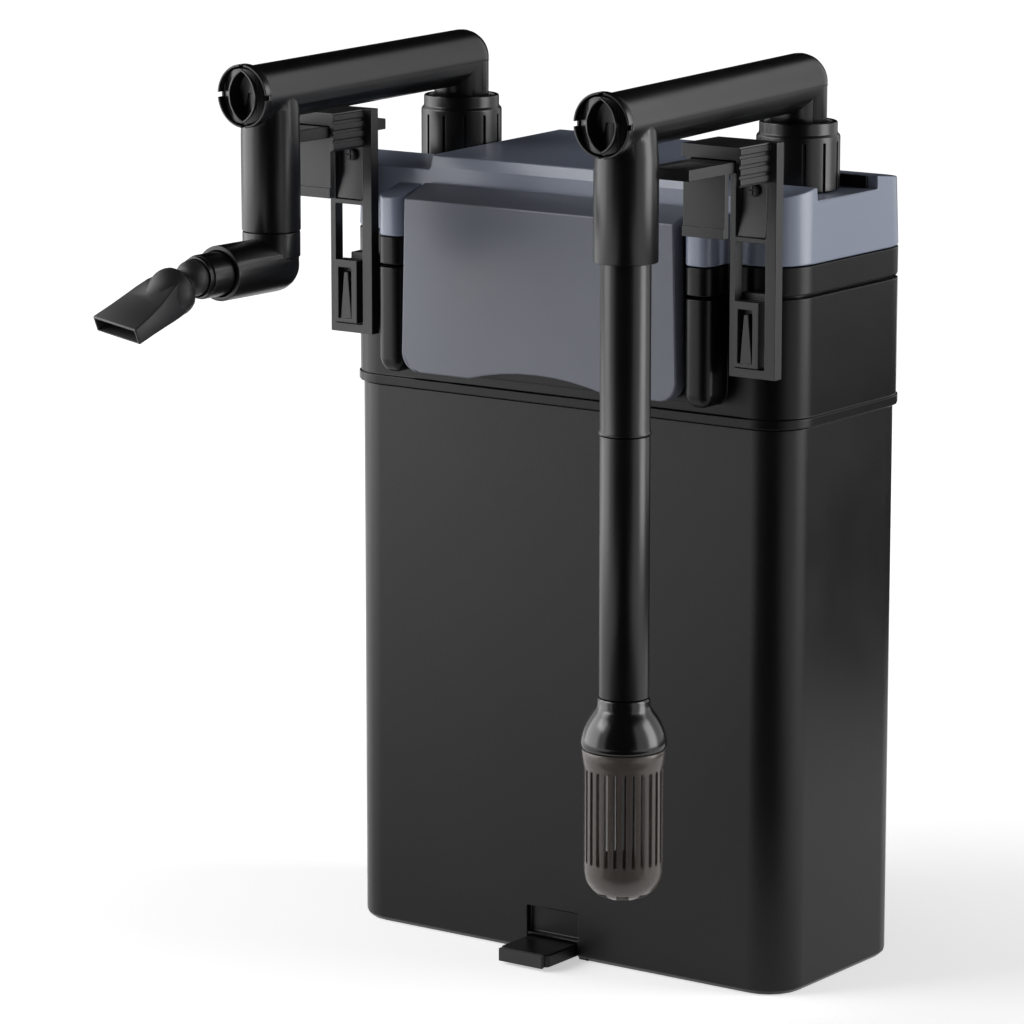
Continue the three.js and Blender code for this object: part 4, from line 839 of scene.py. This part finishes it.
def make_screw(hand):
    low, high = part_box(f"pad_screw_{hand}")
    place = [(low.x + high.x) / 2 / MM, high.y / MM, (low.z + high.z) / 2 / MM]
    span = (high.y - low.y) / MM
    screw = turned(
        f"pad_fixing_{hand}",
        [(1.0, 0), (1.0, span - 1), (2.0, span - 0.95), (2.1, span - 0.8), (2.0, span - 0.4), (1.7, span - 0.12),
         (1.2, span)],
        sides=32,
    )
    cross = box("slot", (-1.5, -0.25, span - 0.5), (1.5, 0.25, span + 1))
    other = box("slot", (-0.25, -1.5, span - 0.5), (0.25, 1.5, span + 1))
    carved(screw, cross, other)
    smoothed(screw, 35)
    placed(screw, along("-y", place))
    black_steel = finish("blackened steel", rgb("38383a"), 0.5, grain=900, depth=0.01, metallic=0.3, specular=0.3)
    dressed(screw, black_steel, f"ladder_{hand}", "steel", f"pad_screw_{hand}")


# ---------------------------------------------------------------- parts held inside
INSIDE_FINISHES = {
    "rubber": rubber,
    "steel": steel,
    "head_black": head_black,
    "pipe_black": pipe_black,
    "ceramic": lambda: finish("ceramic", rgb("e0dcd2"), 0.4, grain=900, depth=0.01, spread=0.04),
    "resin": lambda: finish("potting resin", rgb("34343a"), 0.6, grain=260, depth=0.05),
    "ferrite": lambda: finish("ferrite", rgb("28282a"), 0.55, grain=1600, depth=0.03),
    "basket_grey": lambda: finish("basket grey", rgb("84888c"), 0.5, grain=1100, depth=0.02),
}


def make_inside():
    """Gives each solid that no piece stands for the finish of its slot."""
    slot_of = {part["node"]: part["material_slot"] for part in frame["record"]["subparts"]}
    for cad_node, obj in frame["nodes"].items():
        if obj.hide_render:
            continue
        material = INSIDE_FINISHES[slot_of[cad_node]]()
        for slot in obj.material_slots:
            slot.material = material


def make_media():
    looks = {
        "coarse_sponge": ("coarse_pad", foam("blue foam", rgb("2f5f8f"), 700), "foam_blue"),
        "fine_sponge": ("fine_pad", foam("white foam", rgb("e4e4e0"), 1500), "foam_white"),
        "carbon_bag": ("carbon_pad", foam("carbon", rgb("202021"), 420), "carbon"),
    }
    for cad_node, (name, material, slot) in looks.items():
        pad = from_frame(cad_node, name, width=1.6 * MM, segments=4)
        smoothed(pad, 50, weighted=False)
        dressed(pad, material, "tub", slot, cad_node)


# ---------------------------------------------------------------- stage
def direct_rays(tree):
    """1 for camera, glossy and see-through rays and 0 for the rest."""
    path = node(tree, "ShaderNodeLightPath")
    either = node(tree, "ShaderNodeMath", operation="MAXIMUM")
    tree.links.new(path.outputs["Is Camera Ray"], either.inputs[0])
    tree.links.new(path.outputs["Is Glossy Ray"], either.inputs[1])
    third = node(tree, "ShaderNodeMath", operation="MAXIMUM")
    tree.links.new(either.outputs[0], third.inputs[0])
    tree.links.new(path.outputs["Is Transmission Ray"], third.inputs[1])
    return third.outputs[0]


def stage_floor():
    """A pale floor that glows to white away from the object and takes its real shadow close to it. Its glow is
    weaker near the object, which adds painted shade round the object's base.
    """
    rest()
    bpy.ops.mesh.primitive_plane_add(size=12, location=(0, 0, 0))
    floor = named("stage_floor")
    made = bpy.data.materials.new("stage white")
    made.use_nodes = True
    tree = made.node_tree
    tree.nodes.remove(tree.nodes["Principled BSDF"])
    out = tree.nodes["Material Output"]
    matt = node(tree, "ShaderNodeBsdfDiffuse")
    matt.inputs["Color"].default_value = (0.86, 0.86, 0.86, 1)
    glow = node(tree, "ShaderNodeEmission")
    direct = direct_rays(tree)
    # The glow weakens towards the object: painted shade round its base, on top of its real shadow
    place = node(tree, "ShaderNodeTexCoord")
    reach = node(tree, "ShaderNodeVectorMath", operation="LENGTH")
    tree.links.new(place.outputs["Object"], reach.inputs[0])
    level = node(tree, "ShaderNodeMapRange")
    for key, value in (("From Min", 0.16), ("From Max", 0.75), ("To Min", 0.5), ("To Max", 0.86)):
        level.inputs[key].default_value = value
    tree.links.new(reach.outputs["Value"], level.inputs["Value"])
    share = node(tree, "ShaderNodeMath", operation="MULTIPLY")
    tree.links.new(direct, share.inputs[0])
    tree.links.new(level.outputs["Result"], share.inputs[1])
    tree.links.new(share.outputs[0], glow.inputs["Strength"])
    both = node(tree, "ShaderNodeAddShader")
    tree.links.new(matt.outputs[0], both.inputs[0])
    tree.links.new(glow.outputs[0], both.inputs[1])
    tree.links.new(both.outputs[0], out.inputs["Surface"])
    floor.data.materials.append(made)


def stage_world():
    world = bpy.data.worlds.new("studio")
    bpy.context.scene.world = world
    world.use_nodes = True
    tree = world.node_tree
    back = tree.nodes["Background"]
    back.inputs["Color"].default_value = (1, 1, 1, 1)
    level = node(tree, "ShaderNodeMapRange")
    level.inputs["To Min"].default_value = AMBIENT
    level.inputs["To Max"].default_value = 1.0
    tree.links.new(direct_rays(tree), level.inputs["Value"])
    tree.links.new(level.outputs["Result"], back.inputs["Strength"])


def area_light(name, place, aim, size, power):
    rest()
    bpy.ops.object.light_add(type="AREA", location=place)
    lamp = bpy.context.object
    lamp.name = name
    lamp.data.shape = "RECTANGLE"
    lamp.data.size, lamp.data.size_y = size
    lamp.data.energy = power
    lamp.data.spread = math.radians(180)
    lamp.visible_camera = False
    lamp.rotation_euler = (Vector(aim) - Vector(place)).to_track_quat("-Z", "Y").to_euler()


def card(name, matrix, size, shades=False):
    """A black card that dark mouldings mirror and the camera doesn't see. Matt surfaces see one that shades."""
    rest()
    bpy.ops.mesh.primitive_plane_add(size=1)
    made = named(name)
    placed(made, matrix @ Matrix.Diagonal((*size, 1, 1)))
    black = bpy.data.materials.get("stage black") or bpy.data.materials.new("stage black")
    black.use_nodes = True
    shader = black.node_tree.nodes["Principled BSDF"]
    shader.inputs["Base Color"].default_value = (0.004, 0.004, 0.004, 1)
    shader.inputs["Specular IOR Level"].default_value = 0
    made.data.materials.append(black)
    made.visible_camera = made.visible_transmission = made.visible_shadow = False
    made.visible_diffuse = shades


def upright(azimuth, distance, height):
    """The matrix of a card that stands round the object and faces it."""
    return Matrix.Translation(around(azimuth, distance, height)) @ (
        Matrix.Rotation(math.radians(azimuth), 4, "Z") @ Matrix.Rotation(math.radians(90), 4, "X")
    )


def lying(azimuth, distance, height):
    """The matrix of a card that lies flat, turned to an azimuth."""
    return Matrix.Translation(around(azimuth, distance, height)) @ Matrix.Rotation(math.radians(azimuth), 4, "Z")


def around(azimuth, distance, height):
    """A place round the object, measured from the tank side towards +X."""
    angle = math.radians(azimuth)
    return (distance * math.sin(angle), -distance * math.cos(angle), height)


def stage_camera():
    rest()
    bpy.ops.object.camera_add(
        location=CAMERA_AT, rotation=(math.radians(90 - CAMERA_DROP), 0, math.radians(CAMERA_TURN))
    )
    camera = bpy.context.object
    camera.name = "studio_camera"
    camera.data.lens = CAMERA_LENS
    camera.data.sensor_width = CAMERA_SENSOR
    bpy.context.scene.camera = camera


def make_stage():
    stage_floor()
    stage_world()
    middle = (0, 0, 0.2)
    area_light("left_softbox", around(-62, 1.0, 0.36), (0, 0, 0.3), (1.05, 0.95), 9.2)
    area_light("right_softbox", around(114, 1.0, 0.36), (0, 0, 0.3), (0.5, 0.95), 8)
    area_light("front_fill", around(-45, 1.6, 1.35), middle, (1.0, 0.8), 12)
    card("camera_card", upright(27, 0.8, 0.8), (1.3, 1.6))
    card("back_card", upright(215, 1.3, 0.75), (1.6, 1.4))
    card("overhead_card", lying(0, 0, 1.5), (3.0, 3.0), shades=True)
    card("near_floor_card", lying(32, 0.5, 0.003), (0.5, 0.62))
    card("far_floor_card", lying(150, 1.0, 0.003), (1.5, 1.2))
    stage_camera()
    bpy.context.scene.view_settings.view_transform = "Standard"


# ---------------------------------------------------------------- add-on
class FILTER_OT_stage(bpy.types.Operator):
    """Adds the floor, the soft lights and the camera"""

    bl_idname = "filter.stage"
    bl_label = "Stage"
    bl_options = {"REGISTER", "UNDO"}

    def execute(self, context):
        make_stage()
        return {"FINISHED"}


class FILTER_OT_tub(bpy.types.Operator):
    """Builds the canister and its sliding foot"""

    bl_idname = "filter.tub"
    bl_label = "Canister"
    bl_options = {"REGISTER", "UNDO"}

    def execute(self, context):
        make_tub()
        return {"FINISHED"}


class FILTER_OT_head(bpy.types.Operator):
    """Builds the head, the collar and the bay walls"""

    bl_idname = "filter.head"
    bl_label = "Head"
    bl_options = {"REGISTER", "UNDO"}

    def execute(self, context):
        make_head()
        return {"FINISHED"}


class FILTER_OT_cover(bpy.types.Operator):
    """Builds the top cover with its raised deck"""

    bl_idname = "filter.cover"
    bl_label = "Top cover"
    bl_options = {"REGISTER", "UNDO"}

    def execute(self, context):
        make_cover()
        return {"FINISHED"}


class FILTER_OT_flap(bpy.types.Operator):
    """Builds the front flap"""

    bl_idname = "filter.flap"
    bl_label = "Front flap"
    bl_options = {"REGISTER", "UNDO"}

    def execute(self, context):
        make_flap()
        return {"FINISHED"}


class FILTER_OT_nuts(bpy.types.Operator):
    """Builds the two ribbed union nuts"""

    bl_idname = "filter.nuts"
    bl_label = "Union nuts"
    bl_options = {"REGISTER", "UNDO"}

    def execute(self, context):
        make_nuts()
        return {"FINISHED"}


class FILTER_OT_arms(bpy.types.Operator):
    """Builds the two pipe arms with their tees"""

    bl_idname = "filter.arms"
    bl_label = "Arms"
    bl_options = {"REGISTER", "UNDO"}

    def execute(self, context):
        make_arms()
        return {"FINISHED"}


class FILTER_OT_plugs(bpy.types.Operator):
    """Builds the plugs in the open ends of the tees"""

    bl_idname = "filter.plugs"
    bl_label = "Tee plugs"
    bl_options = {"REGISTER", "UNDO"}

    def execute(self, context):
        make_plugs()
        return {"FINISHED"}


class FILTER_OT_tubes(bpy.types.Operator):
    """Builds the two lengths of suction tube"""

    bl_idname = "filter.tubes"
    bl_label = "Suction tubes"
    bl_options = {"REGISTER", "UNDO"}

    def execute(self, context):
        make_tubes()
        return {"FINISHED"}


class FILTER_OT_strainer(bpy.types.Operator):
    """Builds the strainer's shoulder and slotted cage"""

    bl_idname = "filter.strainer"
    bl_label = "Strainer"
    bl_options = {"REGISTER", "UNDO"}

    def execute(self, context):
        make_strainer()
        return {"FINISHED"}


class FILTER_OT_elbow(bpy.types.Operator):
    """Builds the bend under the outlet arm"""

    bl_idname = "filter.elbow"
    bl_label = "Outlet bend"
    bl_options = {"REGISTER", "UNDO"}

    def execute(self, context):
        make_elbow()
        return {"FINISHED"}


class FILTER_OT_sleeve(bpy.types.Operator):
    """Builds the sleeve that holds the nozzle's ball"""

    bl_idname = "filter.sleeve"
    bl_label = "Swivel sleeve"
    bl_options = {"REGISTER", "UNDO"}

    def execute(self, context):
        make_sleeve()
        return {"FINISHED"}


class FILTER_OT_nozzle(bpy.types.Operator):
    """Builds the duckbill nozzle"""

    bl_idname = "filter.nozzle"
    bl_label = "Nozzle"
    bl_options = {"REGISTER", "UNDO"}

    def execute(self, context):
        make_nozzle()
        return {"FINISHED"}


class FILTER_OT_brackets(bpy.types.Operator):
    """Builds the hangers, rim hooks, pads, screws and clips"""

    bl_idname = "filter.brackets"
    bl_label = "Brackets"
    bl_options = {"REGISTER", "UNDO"}

    def execute(self, context):
        make_brackets()
        return {"FINISHED"}


class FILTER_OT_media(bpy.types.Operator):
    """Builds the sponges and the carbon bag"""

    bl_idname = "filter.media"
    bl_label = "Filter media"
    bl_options = {"REGISTER", "UNDO"}

    def execute(self, context):
        make_media()
        return {"FINISHED"}


class FILTER_OT_inside(bpy.types.Operator):
    """Gives the parts held inside their finishes"""

    bl_idname = "filter.inside"
    bl_label = "Inner parts"
    bl_options = {"REGISTER", "UNDO"}

    def execute(self, context):
        make_inside()
        return {"FINISHED"}


STEPS = (
    FILTER_OT_stage, FILTER_OT_tub, FILTER_OT_head, FILTER_OT_cover,
    FILTER_OT_flap, FILTER_OT_nuts, FILTER_OT_arms, FILTER_OT_plugs,
    FILTER_OT_tubes, FILTER_OT_strainer, FILTER_OT_elbow, FILTER_OT_sleeve,
    FILTER_OT_nozzle, FILTER_OT_brackets, FILTER_OT_media, FILTER_OT_inside,
)


class FILTER_PT_panel(bpy.types.Panel):
    """Sizes, colours and build steps of the canister filter"""

    bl_label = "Canister filter"
    bl_idname = "FILTER_PT_panel"
    bl_space_type = "VIEW_3D"
    bl_region_type = "UI"
    bl_category = "Canister filter"

    def draw(self, context):
        for group in (context.scene.filter_sizes, context.scene.filter_colours):
            for key in group.bl_rna.properties.keys():
                if key not in ("rna_type", "name"):
                    self.layout.prop(group, key)
        for made in STEPS:
            self.layout.operator(made.bl_idname)


CLASSES = (FilterColours, FilterSizes, *STEPS, FILTER_PT_panel)


def register():
    for made in CLASSES:
        bpy.utils.register_class(made)
    bpy.types.Scene.filter_sizes = bpy.props.PointerProperty(type=FilterSizes)
    bpy.types.Scene.filter_colours = bpy.props.PointerProperty(type=FilterColours)


def unregister():
    del bpy.types.Scene.filter_colours
    del bpy.types.Scene.filter_sizes
    for made in reversed(CLASSES):
        bpy.utils.unregister_class(made)


def main():
    register()
    for made in STEPS:
        name = made.bl_idname.split(".")[1]
        getattr(bpy.ops.filter, name)()
    rest()


if __name__ == "__main__":
    main()
